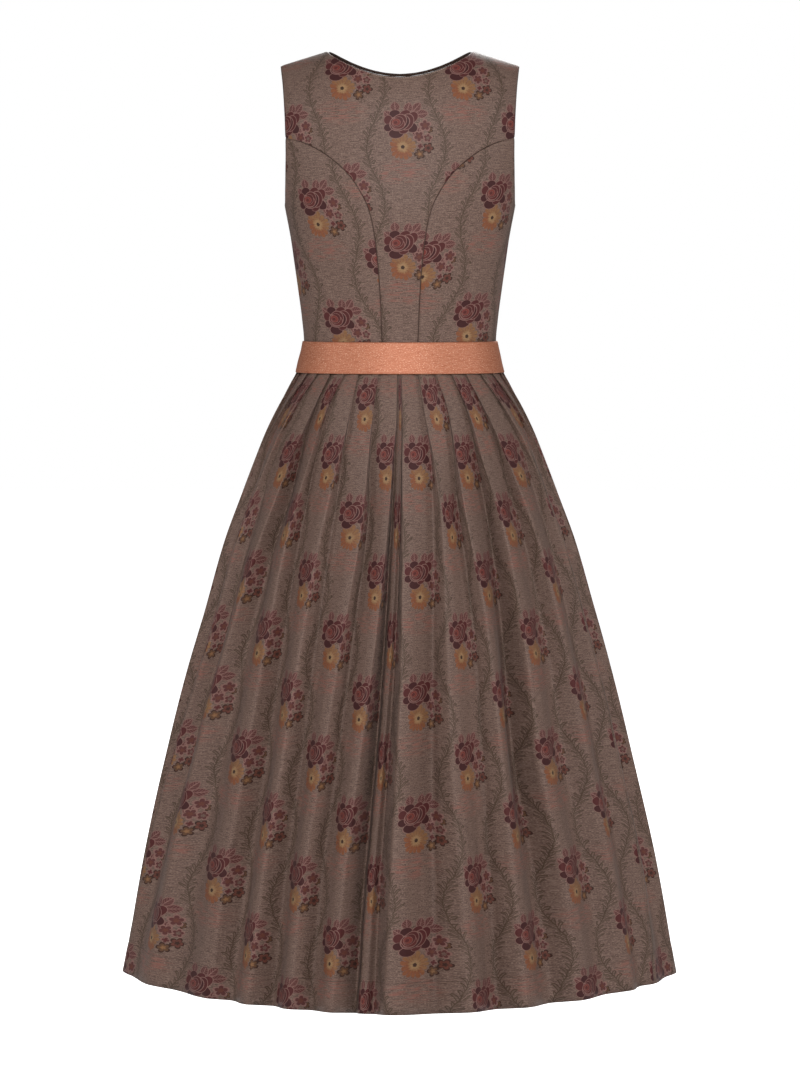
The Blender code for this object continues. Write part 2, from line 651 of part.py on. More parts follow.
def piping(back_outer, back_normal, front_outer, front_normal):
    """Round cord standing on the neck edge, closed over both shoulders."""
    columns = len(BACK_NECK)
    middle = back_outer.shape[1] // 2
    back_edge = np.s_[-1, middle - columns + 1:middle + columns]
    down = np.s_[-2:NECK_ROW - 1:-1, 0]
    up = np.s_[NECK_ROW + 1:-1, 0]
    mirror = np.array([-1, 1, 1])
    line = np.concatenate([back_outer[back_edge], front_outer[down], front_outer[up] * mirror])
    normal = np.concatenate([back_normal[back_edge], front_normal[down], front_normal[up] * mirror])
    tangent = np.roll(line, -1, axis=0) - np.roll(line, 1, axis=0)
    away = np.cross(tangent, normal)
    away /= np.linalg.norm(away, axis=1)[:, None]
    if away[columns - 1, 2] < 0:
        away = -away
    clear = PIPING_RADIUS + PIPING_GAP
    centre = line - normal * BODICE_WALL / 2 + away * clear
    rings = []
    for k in range(PIPING_SIDES):
        t = 2 * math.pi * k / PIPING_SIDES
        rings.append(centre + PIPING_RADIUS * (math.cos(t) * away + math.sin(t) * normal))
    grid = np.array(rings)
    sides, count = grid.shape[:2]
    faces = []
    for k in range(sides):
        for c in range(count):
            k2 = (k + 1) % sides
            c2 = (c + 1) % count
            faces.append((k * count + c, k * count + c2, k2 * count + c2, k2 * count + c))
    make_object("neck_piping", grid.reshape(-1, 3), faces, PIPING_COLOUR, PIPING_ROUGHNESS)


# ---- build -------------------------------------------------------------------------------------
for old in list(bpy.data.objects):
    bpy.data.objects.remove(old, do_unlink=True)
part = bpy.data.collections.new(COLLECTION)
bpy.context.scene.collection.children.link(part)

back_seam = seam_places(BACK_SEAM, BACK_BEND_Z)
front_seam = seam_places(FRONT_SEAM, FRONT_BEND_Z)
back_half = centre_places(back_seam, BACK_NECK)
front_half = front_places(front_seam)
back_whole = np.concatenate([mirrored(back_half)[:, :-1], back_half], axis=1)
BACK_SEAMS = ("first_column", "last_column")
RIGHT_SEAMS = ("front_centre_first", "last_column")
LEFT_SEAMS = ("first_column", "front_centre_last")
back_outer, back_normal = bodice_panel("back_centre", back_whole, False, BACK_SEAMS)
front_outer, front_normal = bodice_panel("front_right", front_half, True, RIGHT_SEAMS)
bodice_panel("front_left", mirrored(front_half), True, LEFT_SEAMS)
back_side = side_places(back_seam, False)
front_side = side_places(front_seam, True)
SIDE_SEAMS = ("first_column", "last_column", "last_row")
bodice_panel("back_side_right", back_side, False, SIDE_SEAMS)
bodice_panel("back_side_left", mirrored(back_side), False, SIDE_SEAMS)
bodice_panel("front_side_right", front_side, True, SIDE_SEAMS)
bodice_panel("front_side_left", mirrored(front_side), True, SIDE_SEAMS)
piping(back_outer, back_normal, front_outer, front_normal)

shell("belt", belt_rings(0.0), belt_rings(BELT_WALL), BELT_COLOUR, BELT_ROUGHNESS, closed=True)

heights = [row[0] for row in SKIRT_SECTIONS]
cloth, first_ring = skirt_ring(heights[0])
outer_rings = np.array([skirt_ring(z)[1] for z in heights])
inner_rings = np.array([ring_inside(ring, SKIRT_WALL) for ring in outer_rings])
left_seam = int(np.argmin(np.abs(np.array(cloth) + SIDE_SEAM_C)))
right_seam = int(np.argmin(np.abs(np.array(cloth) - SIDE_SEAM_C)))
front_middle = len(cloth) - 1
skirt_piece("skirt_back", outer_rings, inner_rings, left_seam, right_seam)
skirt_piece("skirt_front_right", outer_rings, inner_rings, right_seam, front_middle)
skirt_piece("skirt_front_left", outer_rings, inner_rings, front_middle, left_seam + len(cloth))
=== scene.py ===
"""Looks of a sleeveless midi dirndl: flowered jacquard, satin belt and knife-pleated skirt.

Lengths are in metres in the dress's own frame: +Z up, the wearer faces +Y. Every cloth piece is a
fine shell laid on the form of its solid, with its flat cut kept in a UV map named "cloth".
"""

import logging
import math
from dataclasses import dataclass
from enum import Enum

import bmesh
import bpy
import numpy as np
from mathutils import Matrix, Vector


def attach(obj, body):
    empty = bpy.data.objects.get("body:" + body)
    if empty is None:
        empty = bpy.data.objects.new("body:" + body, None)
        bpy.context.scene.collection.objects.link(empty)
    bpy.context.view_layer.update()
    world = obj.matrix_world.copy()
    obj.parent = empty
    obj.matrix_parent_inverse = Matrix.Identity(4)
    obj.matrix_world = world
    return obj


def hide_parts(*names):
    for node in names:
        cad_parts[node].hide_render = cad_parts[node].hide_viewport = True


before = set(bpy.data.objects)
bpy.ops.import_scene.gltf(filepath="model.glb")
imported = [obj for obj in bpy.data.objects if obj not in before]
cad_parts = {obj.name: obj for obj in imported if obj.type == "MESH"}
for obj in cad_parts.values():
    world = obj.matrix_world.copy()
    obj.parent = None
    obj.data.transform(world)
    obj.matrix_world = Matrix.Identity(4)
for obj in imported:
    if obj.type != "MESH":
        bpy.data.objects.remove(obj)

LOG = logging.getLogger("dirndl")
Table = tuple[tuple[float, ...], ...]
Pair = tuple[float, float]
Colour = tuple[float, float, float, float]
HEM_FOLD = 0.038  # depth of the hem's turned cloth
MERGE = 0.00001  # corners closer than this are one
TINY = 1e-12  # keeps a length from being zero
DIGITS = 6  # figures that tell two corners of a unit grid apart
MM = 1000.0  # millimetres in a metre
VECTOR_SOCKETS = (4, 5)  # the Mix node's two vector inputs
COLOUR_SOCKETS = (6, 7)  # its two colour inputs
WHITE = (1.0, 1.0, 1.0, 1.0)


class Side(Enum):
    """Which side of the dress a bodice panel lies on."""

    BACK = -1
    FRONT = 1


class Hand(Enum):
    """Which hand of the wearer a piece lies on."""

    LEFT = -1
    RIGHT = 1


# ---- curves through short tables ---------------------------------------------------------------
def smooth_table(xs: np.ndarray, ys: np.ndarray, x: np.ndarray) -> np.ndarray:
    """Monotone cubic through a table.

    Args:
        xs: Rising places of the rows.
        ys: Values of the rows.
        x: Places to read, held inside the table.

    Returns:
        The values at x.
    """
    xs = np.asarray(xs, float)
    ys = np.asarray(ys, float)
    h = np.diff(xs)
    d = np.diff(ys) / h
    m = np.zeros(len(xs))
    m[0], m[-1] = d[0], d[-1]
    for i in range(1, len(xs) - 1):
        if d[i - 1] * d[i] > 0:
            w1 = 2 * h[i] + h[i - 1]
            w2 = h[i] + 2 * h[i - 1]
            m[i] = (w1 + w2) / (w1 / d[i - 1] + w2 / d[i])
    x = np.clip(x, xs[0], xs[-1])
    i = np.clip(np.searchsorted(xs, x) - 1, 0, len(h) - 1)
    t = (x - xs[i]) / h[i]
    low = (1 + 2 * t) * (1 - t) ** 2 * ys[i] + t * (1 - t) ** 2 * h[i] * m[i]
    return low + t * t * (3 - 2 * t) * ys[i + 1] + t * t * (t - 1) * h[i] * m[i + 1]


def read_sections(table: Table, z: np.ndarray) -> list[np.ndarray]:
    """Columns of a section table at the heights z; the table's rows run downwards."""
    rows = np.array(table)[::-1]
    return [smooth_table(rows[:, 0], rows[:, k], z) for k in range(1, rows.shape[1])]


def refine(grid: np.ndarray, rows: int, cols: int) -> np.ndarray:
    """Smoothly resamples a grid of values.

    Args:
        grid: Array of rows by columns by values.
        rows: Number of rows wanted.
        cols: Number of columns wanted.

    Returns:
        The finer grid.
    """
    r, c, k = grid.shape
    tall = np.zeros((rows, c, k))
    for j in range(c):
        for n in range(k):
            tall[:, j, n] = smooth_table(np.arange(r), grid[:, j, n], np.linspace(0, r - 1, rows))
    fine = np.zeros((rows, cols, k))
    for i in range(rows):
        for n in range(k):
            fine[i, :, n] = smooth_table(np.arange(c), tall[i, :, n], np.linspace(0, c - 1, cols))
    return fine


def run_length(line: np.ndarray) -> np.ndarray:
    """Length along a line of points, from its first point."""
    return np.concatenate([[0.0], np.cumsum(np.linalg.norm(np.diff(line, axis=0), axis=1))])


# ---- the bodice's form -------------------------------------------------------------------------
@dataclass(frozen=True)
class BodiceForm:
    """Filled-out form of the bodice and the places of its seams and edges."""

    neck_half: float = 0.0935
    tip_x: float = 0.1507
    tip_z: float = -0.0175
    neck_rise: float = 0.018
    yoke_z: float = -0.1090
    bottom_z: float = -0.3862
    bust_out: float = 0.013
    bust_place: tuple[float, float] = (0.068, -0.238)
    bust_spread: tuple[float, float] = (0.036, 0.050)
    sections: Table = (
        (-0.1090, 0.1598, 0.0940, 0.0875, 2.40),
        (-0.1500, 0.1535, 0.1010, 0.0970, 2.40),
        (-0.1800, 0.1482, 0.1035, 0.1040, 2.40),
        (-0.1955, 0.1455, 0.1040, 0.1075, 2.38),
        (-0.2360, 0.1380, 0.1010, 0.1150, 2.34),
        (-0.2610, 0.1345, 0.0975, 0.1150, 2.30),
        (-0.2970, 0.1295, 0.0910, 0.1070, 2.26),
        (-0.3370, 0.1244, 0.0850, 0.0970, 2.22),
        (-0.3637, 0.1222, 0.0825, 0.0915, 2.20),
        (-0.3862, 0.1250, 0.0852, 0.0940, 2.17),
    )
    armhole: Table = (
        (-0.0175, 0.1507),
        (-0.0480, 0.1470),
        (-0.0800, 0.1448),
        (-0.1090, 0.1434),
        (-0.1500, 0.1438),
        (-0.1800, 0.1453),
        (-0.1925, 0.1456),
        (-0.1955, 0.1455),
    )
    back_seam: Table = (
        (-0.1090, 0.1434),
        (-0.1165, 0.1207),
        (-0.1315, 0.0927),
        (-0.1495, 0.0711),
        (-0.1725, 0.0525),
        (-0.2065, 0.0367),
        (-0.2360, 0.0310),
        (-0.2620, 0.0279),
        (-0.3070, 0.0246),
        (-0.3680, 0.0221),
        (-0.3862, 0.0216),
    )
    front_seam: Table = (
        (-0.1090, 0.1434),
        (-0.1190, 0.1250),
        (-0.1345, 0.1090),
        (-0.1570, 0.0960),
        (-0.1900, 0.0855),
        (-0.2250, 0.0790),
        (-0.2550, 0.0735),
        (-0.3070, 0.0630),
        (-0.3680, 0.0540),
        (-0.3862, 0.0525),
    )
    back_neck: Table = (
        (0.0000, -0.0364),
        (0.0180, -0.0349),
        (0.0340, -0.0314),
        (0.0490, -0.0262),
        (0.0630, -0.0198),
        (0.0760, -0.0124),
        (0.0860, -0.0058),
        (0.0935, 0.0000),
    )
    front_neck: Table = (
        (0.0000, -0.1650),
        (0.0280, -0.1630),
        (0.0520, -0.1540),
        (0.0680, -0.1380),
        (0.0790, -0.1120),
        (0.0855, -0.0780),
        (0.0905, -0.0370),
        (0.0935, 0.0000),
    )
    seam_rows: tuple[float, ...] = (
        -0.3862, -0.3637, -0.3370, -0.3120, -0.2870, -0.2620, -0.2380, -0.2150, -0.1950,
    )
    side_rows: tuple[float, ...] = (-0.3862, -0.3637, -0.3300, -0.2900, -0.2450, -0.1955)
    armhole_steps: tuple[float, ...] = (0.08, 0.35, 0.70, 1.0)
    bends: tuple[float, float] = (-0.173, -0.175)
    bend_columns: int = 6
    strap_columns: int = 4
    yoke_rows: int = 6
    neck_row: int = 8
    neck_pull: float = 5.0
    front_columns: int = 10
    arc_steps: int = 24
    bend_steps: int = 60
    climb_steps: int = 160
    climb_line: float = 0.6

    def seam_table(self, side: Side) -> Table:
        """Table of the curved seam on one side of the dress."""
        return self.front_seam if side is Side.FRONT else self.back_seam

    def read(self, table: Table, z: float) -> float:
        """Distance from the centre that a two-column table gives at a height."""
        rows = np.array(sorted(table))
        return float(smooth_table(rows[:, 0], rows[:, 1], np.array(z)))

    def shoulder_z(self, x: np.ndarray) -> np.ndarray:
        """Height of the shoulder line, carried on over the neck.

        Args:
            x: Distances from the middle, signed.

        Returns:
            The heights.
        """
        q = np.abs(x)
        slope = self.tip_z / (self.tip_x - self.neck_half)
        rise = self.neck_rise * (1 - (q / self.neck_half) ** 2)
        return np.where(q < self.neck_half, rise, slope * (q - self.neck_half))

    def point(self, x: np.ndarray, z: np.ndarray, side: Side) -> np.ndarray:
        """Points of the bodice surface.

        Args:
            x: Distances from the middle, signed.
            z: Heights.
            side: Back or front.

        Returns:
            Array of x by three coordinates.
        """
        a, back, fore, n = read_sections(self.sections, np.minimum(z, self.yoke_z))
        u = (np.abs(x) - self.bust_place[0]) / self.bust_spread[0]
        v = (z - self.bust_place[1]) / self.bust_spread[1]
        depth = fore + self.bust_out * np.exp(-u * u - v * v) if side is Side.FRONT else back
        reach = depth * np.maximum(1 - np.minimum(np.abs(x / a), 1.0) ** n, 0.0) ** (1 / n)
        high = np.clip((z - self.yoke_z) / (self.shoulder_z(x) - self.yoke_z), 0.0, 1.0)
        reach = reach * np.sqrt(1 - high * high)
        return np.stack([x, side.value * reach, z], axis=-1)

    def seam_places(self, side: Side) -> np.ndarray:
        """Places (x, z) on a curved seam from the waist to the armhole.

        Args:
            side: Back or front.

        Returns:
            Array of places by two.
        """
        table = self.seam_table(side)
        bend = self.bends[0] if side is Side.BACK else self.bends[1]
        places = [(self.read(table, z), z) for z in self.seam_rows + (bend,)]
        heights = np.linspace(bend, self.yoke_z, self.bend_steps)
        bent = np.array([(self.read(table, z), z) for z in heights])
        run = run_length(bent)
        for k in range(1, self.bend_columns + 1):
            want = run[-1] * k / self.bend_columns
            places.append((np.interp(want, run, bent[:, 0]), np.interp(want, run, bent[:, 1])))
        return np.array(places)

    def outer_edge(self, side: Side) -> np.ndarray:
        """Places (x, z) up the outer edge of a centre panel: its seam, then the armhole.

        Args:
            side: Back or front.

        Returns:
            Array of places by two.
        """
        turn = np.linspace(0, math.pi / 2, self.yoke_rows + 1)[1:]
        high = self.yoke_z + (self.tip_z - self.yoke_z) * np.sin(turn)
        edge = [tuple(p) for p in self.seam_places(side)]
        return np.array(edge + [(self.read(self.armhole, z), z) for z in high])

    def front_places(self) -> np.ndarray:
        """Places (x, z) on a front panel: rows from its centre front or neckline outwards.

        Returns:
            Grid of places, rows upwards and columns outwards.
        """
        outer = self.outer_edge(Side.FRONT)
        neck = np.array(self.front_neck)
        run = run_length(neck)
        inner = [(0.0, self.seam_rows[0])]
        inner += [(0.0, z) for z in np.linspace(self.seam_rows[1], neck[0, 1], self.neck_row)]
        for want in np.linspace(0, run[-1], len(outer) - self.neck_row)[1:]:
            place = [float(smooth_table(run, neck[:, k], np.array(want))) for k in (0, 1)]
            inner.append(tuple(place))
        share = np.linspace(0, 1, self.front_columns + 1)[None, :, None]
        return np.array(inner)[:, None] * (1 - share) + outer[:, None] * share

    def back_places(self) -> np.ndarray:
        """Places (x, z) on half the back panel, rows upwards and columns outwards.

        Returns:
            Grid of places by two.
        """
        neck = self.back_neck
        edge = self.outer_edge(Side.BACK)
        strap = np.linspace(self.neck_half, self.tip_x, self.strap_columns + 1)[1:]
        share = np.array([p[0] for p in neck] + list(strap)) / self.tip_x
        top = np.array([p[1] for p in neck] + [float(self.shoulder_z(x)) for x in strap])
        plain = np.linspace(0, 1, len(share))
        reach = (top - self.bottom_z) / (self.tip_z - self.bottom_z)
        grid = np.zeros((len(edge), len(share), 2))
        for r, (x, z) in enumerate(edge):
            up = min((z - self.bottom_z) / (self.yoke_z - self.bottom_z), 1.0)
            pull = ((z - self.bottom_z) / (self.tip_z - self.bottom_z)) ** self.neck_pull
            grid[r, :, 0] = x * (plain + (share - plain) * up)
            grid[r, :, 1] = self.bottom_z + (z - self.bottom_z) * (1 + (reach - 1) * pull)
        return grid

    def side_turns(self, side: Side) -> np.ndarray:
        """Turn round the body and height on a side panel, rows upwards and columns outwards.

        Args:
            side: Back or front.

        Returns:
            Grid of turns and heights.
        """
        seam = self.seam_places(side)
        count = len(self.seam_rows) + 1
        underarm = self.side_rows[-1]
        high = [underarm + (self.yoke_z - underarm) * s for s in self.armhole_steps]
        right = [(math.pi / 2, z) for z in self.side_rows]
        right += [(self.turn(self.read(self.armhole, z), z), z) for z in high]
        left = np.array([(self.turn(x, z), z) for x, z in seam[:count]])
        top = np.array([(self.turn(x, z), z) for x, z in seam[count - 1:]])
        right = np.array(right)
        bottom = np.linspace(left[0], right[0], self.bend_columns + 1)
        grid = np.zeros((count, self.bend_columns + 1, 2))
        for r in range(count):
            v = r / (count - 1)
            for c in range(self.bend_columns + 1):
                u = c / self.bend_columns
                sides = (1 - u) * left[r] + u * right[r]
                ends = (1 - v) * bottom[c] + v * top[c]
                low = (1 - u) * bottom[0] + u * bottom[-1]
                peak = (1 - u) * top[0] + u * top[-1]
                grid[r, c] = sides + ends - (1 - v) * low - v * peak
        return grid

    def turn(self, x: float, z: float) -> float:
        """Turn round the body, from the centre line to the side, of a place (x, z)."""
        a, _, _, n = read_sections(self.sections, np.array(z))
        return math.asin(min(x / float(a), 1.0) ** (float(n) / 2))

    def arc(self, x: np.ndarray, z: np.ndarray, side: Side) -> np.ndarray:
        """Length along the cloth from the middle out to places at the same height.

        Args:
            x: Distances from the middle.
            z: Heights.
            side: Back or front.

        Returns:
            The lengths, all positive.
        """
        a, _, _, n = read_sections(self.sections, np.minimum(z, self.yoke_z))
        turn = np.arcsin(np.minimum(np.abs(x) / a, 1.0) ** (n / 2))
        part = np.linspace(0, 1, self.arc_steps)
        xs = a[..., None] * np.sin(turn[..., None] * part) ** (2 / n[..., None])
        points = self.point(xs, np.broadcast_to(z[..., None], xs.shape), side)
        return np.linalg.norm(np.diff(points, axis=-2), axis=-1).sum(axis=-1)

    def climb(self, z: np.ndarray, side: Side) -> np.ndarray:
        """Length up the cloth from the waist to each height, on the line of the shoulder blade.

        Args:
            z: Heights.
            side: Back or front.

        Returns:
            The lengths.
        """
        line = np.linspace(self.bottom_z, self.tip_z, self.climb_steps)
        points = self.point(np.full(line.shape, self.neck_half * self.climb_line), line, side)
        return np.interp(z, line, run_length(points)) + np.maximum(z - self.tip_z, 0.0)

    def from_turn(self, turns: np.ndarray) -> np.ndarray:
        """Places (x, z) of a grid of turns and heights.

        Args:
            turns: Grid of turns and heights.

        Returns:
            Grid of places by two.
        """
        a, _, _, n = read_sections(self.sections, turns[..., 1])
        x = a * np.sin(np.clip(turns[..., 0], 0, math.pi / 2)) ** (2 / n)
        return np.stack([x, turns[..., 1]], axis=-1)


@dataclass(frozen=True)
class Crease:
    """Soft trough between two places (x, z), or a ridge where its depth is negative."""

    start: tuple[float, float]
    end: tuple[float, float]
    width: float
    depth: float
    fade_from: float = 0.12
    fade_run: float = 0.76

    def dent(self, places: np.ndarray) -> np.ndarray:
        """Inward distances at places (x, z).

        Args:
            places: Array of places by two.

        Returns:
            The distances.
        """
        a = np.array(self.start)
        way = np.array(self.end) - a
        t = np.clip(((places - a) @ way) / (way @ way), 0, 1)
        gap = np.linalg.norm(places - a - t[..., None] * way, axis=-1)
        fade = np.sin(np.pi * np.clip(self.fade_from + self.fade_run * t, 0, 1))
        return self.depth * fade * np.exp(-((gap / self.width) ** 2))


# ---- meshes ------------------------------------------------------------------------------------
def add_object(name: str, data: bpy.types.ID) -> bpy.types.Object:
    """Makes an object of some data and links it to the scene.

    Args:
        name: Name of the object.
        data: Its mesh, light or camera.

    Returns:
        The object, at the origin.
    """
    obj = bpy.data.objects.new(name, data)
    bpy.context.scene.collection.objects.link(obj)
    return obj


def add_mesh(name: str, body: bmesh.types.BMesh) -> bpy.types.Object:
    """Turns a bmesh into an object and frees it.

    Args:
        name: Name of the mesh and the object.
        body: The bmesh.

    Returns:
        The object.
    """
    mesh = bpy.data.meshes.new(name)
    body.to_mesh(mesh)
    body.free()
    return add_object(name, mesh)


def lay_grid(name: str, points: np.ndarray, maps: dict[str, np.ndarray]) -> bpy.types.Object:
    """Makes a sheet from a grid primitive whose corners are moved to given points.

    Args:
        name: Name of the new object.
        points: Rows by columns by three coordinates.
        maps: UV maps, each rows by columns by two.

    Returns:
        The new object, smooth, with its UV maps.
    """
    rows, cols = points.shape[:2]
    sheet = bmesh.new()
    bmesh.ops.create_grid(sheet, x_segments=cols - 1, y_segments=rows - 1, size=1.0)
    order = sorted(sheet.verts, key=lambda v: (round(v.co.y, DIGITS), round(v.co.x, DIGITS)))
    place = {v: divmod(i, cols) for i, v in enumerate(order)}
    for vert, (r, c) in place.items():
        vert.co = Vector(points[r, c])
    for title, values in maps.items():
        layer = sheet.loops.layers.uv.new(title)
        for face in sheet.faces:
            face.smooth = True
            for loop in face.loops:
                loop[layer].uv = values[place[loop.vert]]
    sheet.normal_update()
    return add_mesh(name, sheet)


def grid_normals(points: np.ndarray) -> np.ndarray:
    """Unit normals of a grid of points, to the side where rows rise and columns run right.

    Args:
        points: Rows by columns by three coordinates.

    Returns:
        A unit vector for each point.
    """
    across = np.gradient(points, axis=1)
    along = np.gradient(points, axis=0)
    normal = np.cross(across, along)
    length = np.linalg.norm(normal, axis=-1, keepdims=True)
    return normal / np.maximum(length, TINY)


def thicken(obj: bpy.types.Object, wall: float) -> None:
    """Gives a sheet its thickness, inwards from its face.

    Args:
        obj: The sheet.
        wall: Its thickness.
    """
    solid = obj.modifiers.new("wall", "SOLIDIFY")
    solid.thickness = wall
    solid.offset = -1.0
    solid.use_even_offset = False


def grid_steps(points: np.ndarray) -> tuple[np.ndarray, np.ndarray]:
    """Lengths along the rows and up the columns of a grid of points.

    Args:
        points: Rows by columns by three coordinates.

    Returns:
        Both lengths at each point, from the first column and the first row.
    """
    across = np.linalg.norm(np.diff(points, axis=1), axis=-1)
    up = np.linalg.norm(np.diff(points, axis=0), axis=-1)
    rows, cols = points.shape[:2]
    u = np.concatenate([np.zeros((rows, 1)), np.cumsum(across, axis=1)], axis=1)
    v = np.concatenate([np.zeros((1, cols)), np.cumsum(up, axis=0)], axis=0)
    return u, v


# ---- node trees --------------------------------------------------------------------------------
Value = bpy.types.NodeSocket | float | tuple


class Desk:
    """Adds and wires the nodes of one tree."""

    def __init__(self, tree: bpy.types.NodeTree) -> None:
        """Takes the tree to work on."""
        self.tree = tree

    def node(self, kind: str, **settings: object) -> bpy.types.Node:
        """Adds a node with the given settings.

        Args:
            kind: Type of the node.
            **settings: Values of its properties.

        Returns:
            The node.
        """
        made = self.tree.nodes.new(kind)
        for key, value in settings.items():
            setattr(made, key, value)
        return made

    def feed(self, socket: bpy.types.NodeSocket, value: Value) -> None:
        """Links or sets one input.

        Args:
            socket: The input.
            value: A socket to link or a plain value.
        """
        if isinstance(value, bpy.types.NodeSocket):
            self.tree.links.new(value, socket)
        else:
            socket.default_value = value

    def math(self, operation: str, *values: Value) -> bpy.types.NodeSocket:
        """Result of a Math node.

        Args:
            operation: What the node works out.
            *values: Its inputs.

        Returns:
            Its output.
        """
        made = self.node("ShaderNodeMath", operation=operation)
        for socket, value in zip(made.inputs, values):
            self.feed(socket, value)
        return made.outputs[0]

    def vector(self, operation: str, a: Value, b: Value = (0.0, 0.0, 0.0)) -> bpy.types.NodeSocket:
        """Result of a Vector Math node.

        Args:
            operation: What the node works out.
            a: First vector.
            b: Second vector.

        Returns:
            Its output, a number where it measures a length.
        """
        made = self.node("ShaderNodeVectorMath", operation=operation)
        self.feed(made.inputs[0], a)
        self.feed(made.inputs[1], b)
        return made.outputs["Value" if operation == "LENGTH" else "Vector"]

    def split(self, vector: Value) -> tuple[bpy.types.NodeSocket, bpy.types.NodeSocket]:
        """X and Y of a vector.

        Args:
            vector: The vector.

        Returns:
            Its X and its Y.
        """
        made = self.node("ShaderNodeSeparateXYZ")
        self.feed(made.inputs[0], vector)
        return made.outputs[0], made.outputs[1]

    def join(self, x: Value, y: Value) -> bpy.types.NodeSocket:
        """Vector of X and Y.

        Args:
            x: X.
            y: Y.

        Returns:
            The vector.
        """
        made = self.node("ShaderNodeCombineXYZ")
        self.feed(made.inputs[0], x)
        self.feed(made.inputs[1], y)
        return made.outputs[0]

    def ramp(self, value: Value, low: Value, high: Value) -> bpy.types.NodeSocket:
        """Smooth step from 0 at low to 1 at high.

        Args:
            value: What is read.
            low: Where the step starts.
            high: Where it ends.

        Returns:
            The mask.
        """
        made = self.node("ShaderNodeMapRange", interpolation_type="SMOOTHSTEP")
        for socket, given in zip(made.inputs, (value, low, high, 0.0, 1.0)):
            self.feed(socket, given)
        return made.outputs[0]

    def below(self, value: Value, edge: Value, soft: float) -> bpy.types.NodeSocket:
        """Mask that is 1 where the value is below the edge."""
        return self.math("SUBTRACT", 1.0, self.ramp(value, edge, self.math("ADD", edge, soft)))

    def blend(self, mask: Value, base: Value, top: Value) -> bpy.types.NodeSocket:
        """Colour with the top laid over the base by a mask.

        Args:
            mask: Where the top shows.
            base: Colour below.
            top: Colour above.

        Returns:
            The colour.
        """
        made = self.node("ShaderNodeMix", data_type="RGBA")
        self.feed(made.inputs[0], mask)
        for socket, value in zip(COLOUR_SOCKETS, (base, top)):
            self.feed(made.inputs[socket], value)
        return made.outputs[2]

    def noise(self, place: Value, scale: Pair, detail: float) -> bpy.types.NodeSocket:
        """Noise over a place whose two ways are stretched apart.

        Args:
            place: Where it is read.
            scale: Waves a metre, both ways.
            detail: Finer layers.

        Returns:
            The noise.
        """
        spread = self.vector("MULTIPLY", place, (scale[0], scale[1], 1.0))
        made = self.node("ShaderNodeTexNoise")
        self.feed(made.inputs["Vector"], spread)
        self.feed(made.inputs["Scale"], 1.0)
        self.feed(made.inputs["Detail"], detail)
        return made.outputs["Fac"]

    def turned(self, place: Value, centre: Value, turn: Value) -> bpy.types.NodeSocket:
        """Place from a centre, turned back by an angle.

        Args:
            place: The place.
            centre: The centre.
            turn: The angle in radians.

        Returns:
            The turned place.
        """
        made = self.node("ShaderNodeVectorRotate", rotation_type="Z_AXIS")
        self.feed(made.inputs["Vector"], self.vector("SUBTRACT", place, centre))
        self.feed(made.inputs["Angle"], self.math("MULTIPLY", turn, -1.0))
        return made.outputs[0]

    def line_at(self, value: Value, centre: float, step: Pair) -> bpy.types.NodeSocket:
        """Mask of a soft line where a value passes a centre; the step gives its half and blur."""
        return self.below(self.math("ABSOLUTE", self.math("SUBTRACT", value, centre)), *step)

    def emboss(self, shader: bpy.types.Node, height: Value, depth: float) -> None:
        """Feeds a bump of the given depth to a shader.

        Args:
            shader: The shader.
            height: Height map.
            depth: Depth in metres of its whole range.
        """
        bump = self.node("ShaderNodeBump")
        bump.inputs["Strength"].default_value = 1.0
        bump.inputs["Distance"].default_value = depth
        self.feed(bump.inputs["Height"], height)
        self.feed(shader.inputs["Normal"], bump.outputs[0])


class Group:
    """A shader node group with named inputs and outputs, built once."""

    def __init__(self, name: str, takes: dict[str, str], gives: dict[str, str]) -> None:
        """Makes the group's tree and its sockets.

        Args:
            name: Name of the group.
            takes: Names of the inputs, each with its kind: Float, Vector or Color.
            gives: Names of the outputs, likewise.
        """
        self.tree = bpy.data.node_groups.new(name, "ShaderNodeTree")
        for title, kind in takes.items():
            self.tree.interface.new_socket(title, in_out="INPUT", socket_type="NodeSocket" + kind)
        for title, kind in gives.items():
            self.tree.interface.new_socket(title, in_out="OUTPUT", socket_type="NodeSocket" + kind)
        self.desk = Desk(self.tree)
        self.inputs = self.desk.node("NodeGroupInput").outputs
        self.outputs = self.desk.node("NodeGroupOutput").inputs

    def give(self, **values: Value) -> None:
        """Wires the group's outputs."""
        for title, value in values.items():
            self.desk.feed(self.outputs[title], value)

    def use(self, desk: Desk, **values: Value) -> bpy.types.bpy_prop_collection:
        """Places the group in a tree.

        Args:
            desk: Desk of the tree that uses the group.
            **values: Values or sockets for the inputs.

        Returns:
            The outputs of the placed group.
        """
        placed = desk.node("ShaderNodeGroup", node_tree=self.tree)
        for title, value in values.items():
            desk.feed(placed.inputs[title], value)
        return placed.outputs


# ---- the woven pattern -------------------------------------------------------------------------
@dataclass(frozen=True)
class Repeat:
    """Half-drop repeat of the woven pattern, in metres."""

    width: float = 0.151
    height: float = 0.149


@dataclass(frozen=True)
class Petal:
    """One petal: centre from the daisy's dot and half sizes in millimetres, turn in degrees."""

    centre: tuple[float, float]
    half: tuple[float, float]
    turn: float
    yarn: str


@dataclass(frozen=True)
class Blossom:
    """One round flower: centre and radius in millimetres from the daisy's dot."""

    centre: tuple[float, float]
    radius: float
    petals: float
    turn: float
    yarn: str
    middle: str


@dataclass(frozen=True)
class Leaf:
    """One veined leaf: centre, length and width in millimetres, turn in degrees."""

    centre: tuple[float, float]
    length: float
    width: float
    turn: float


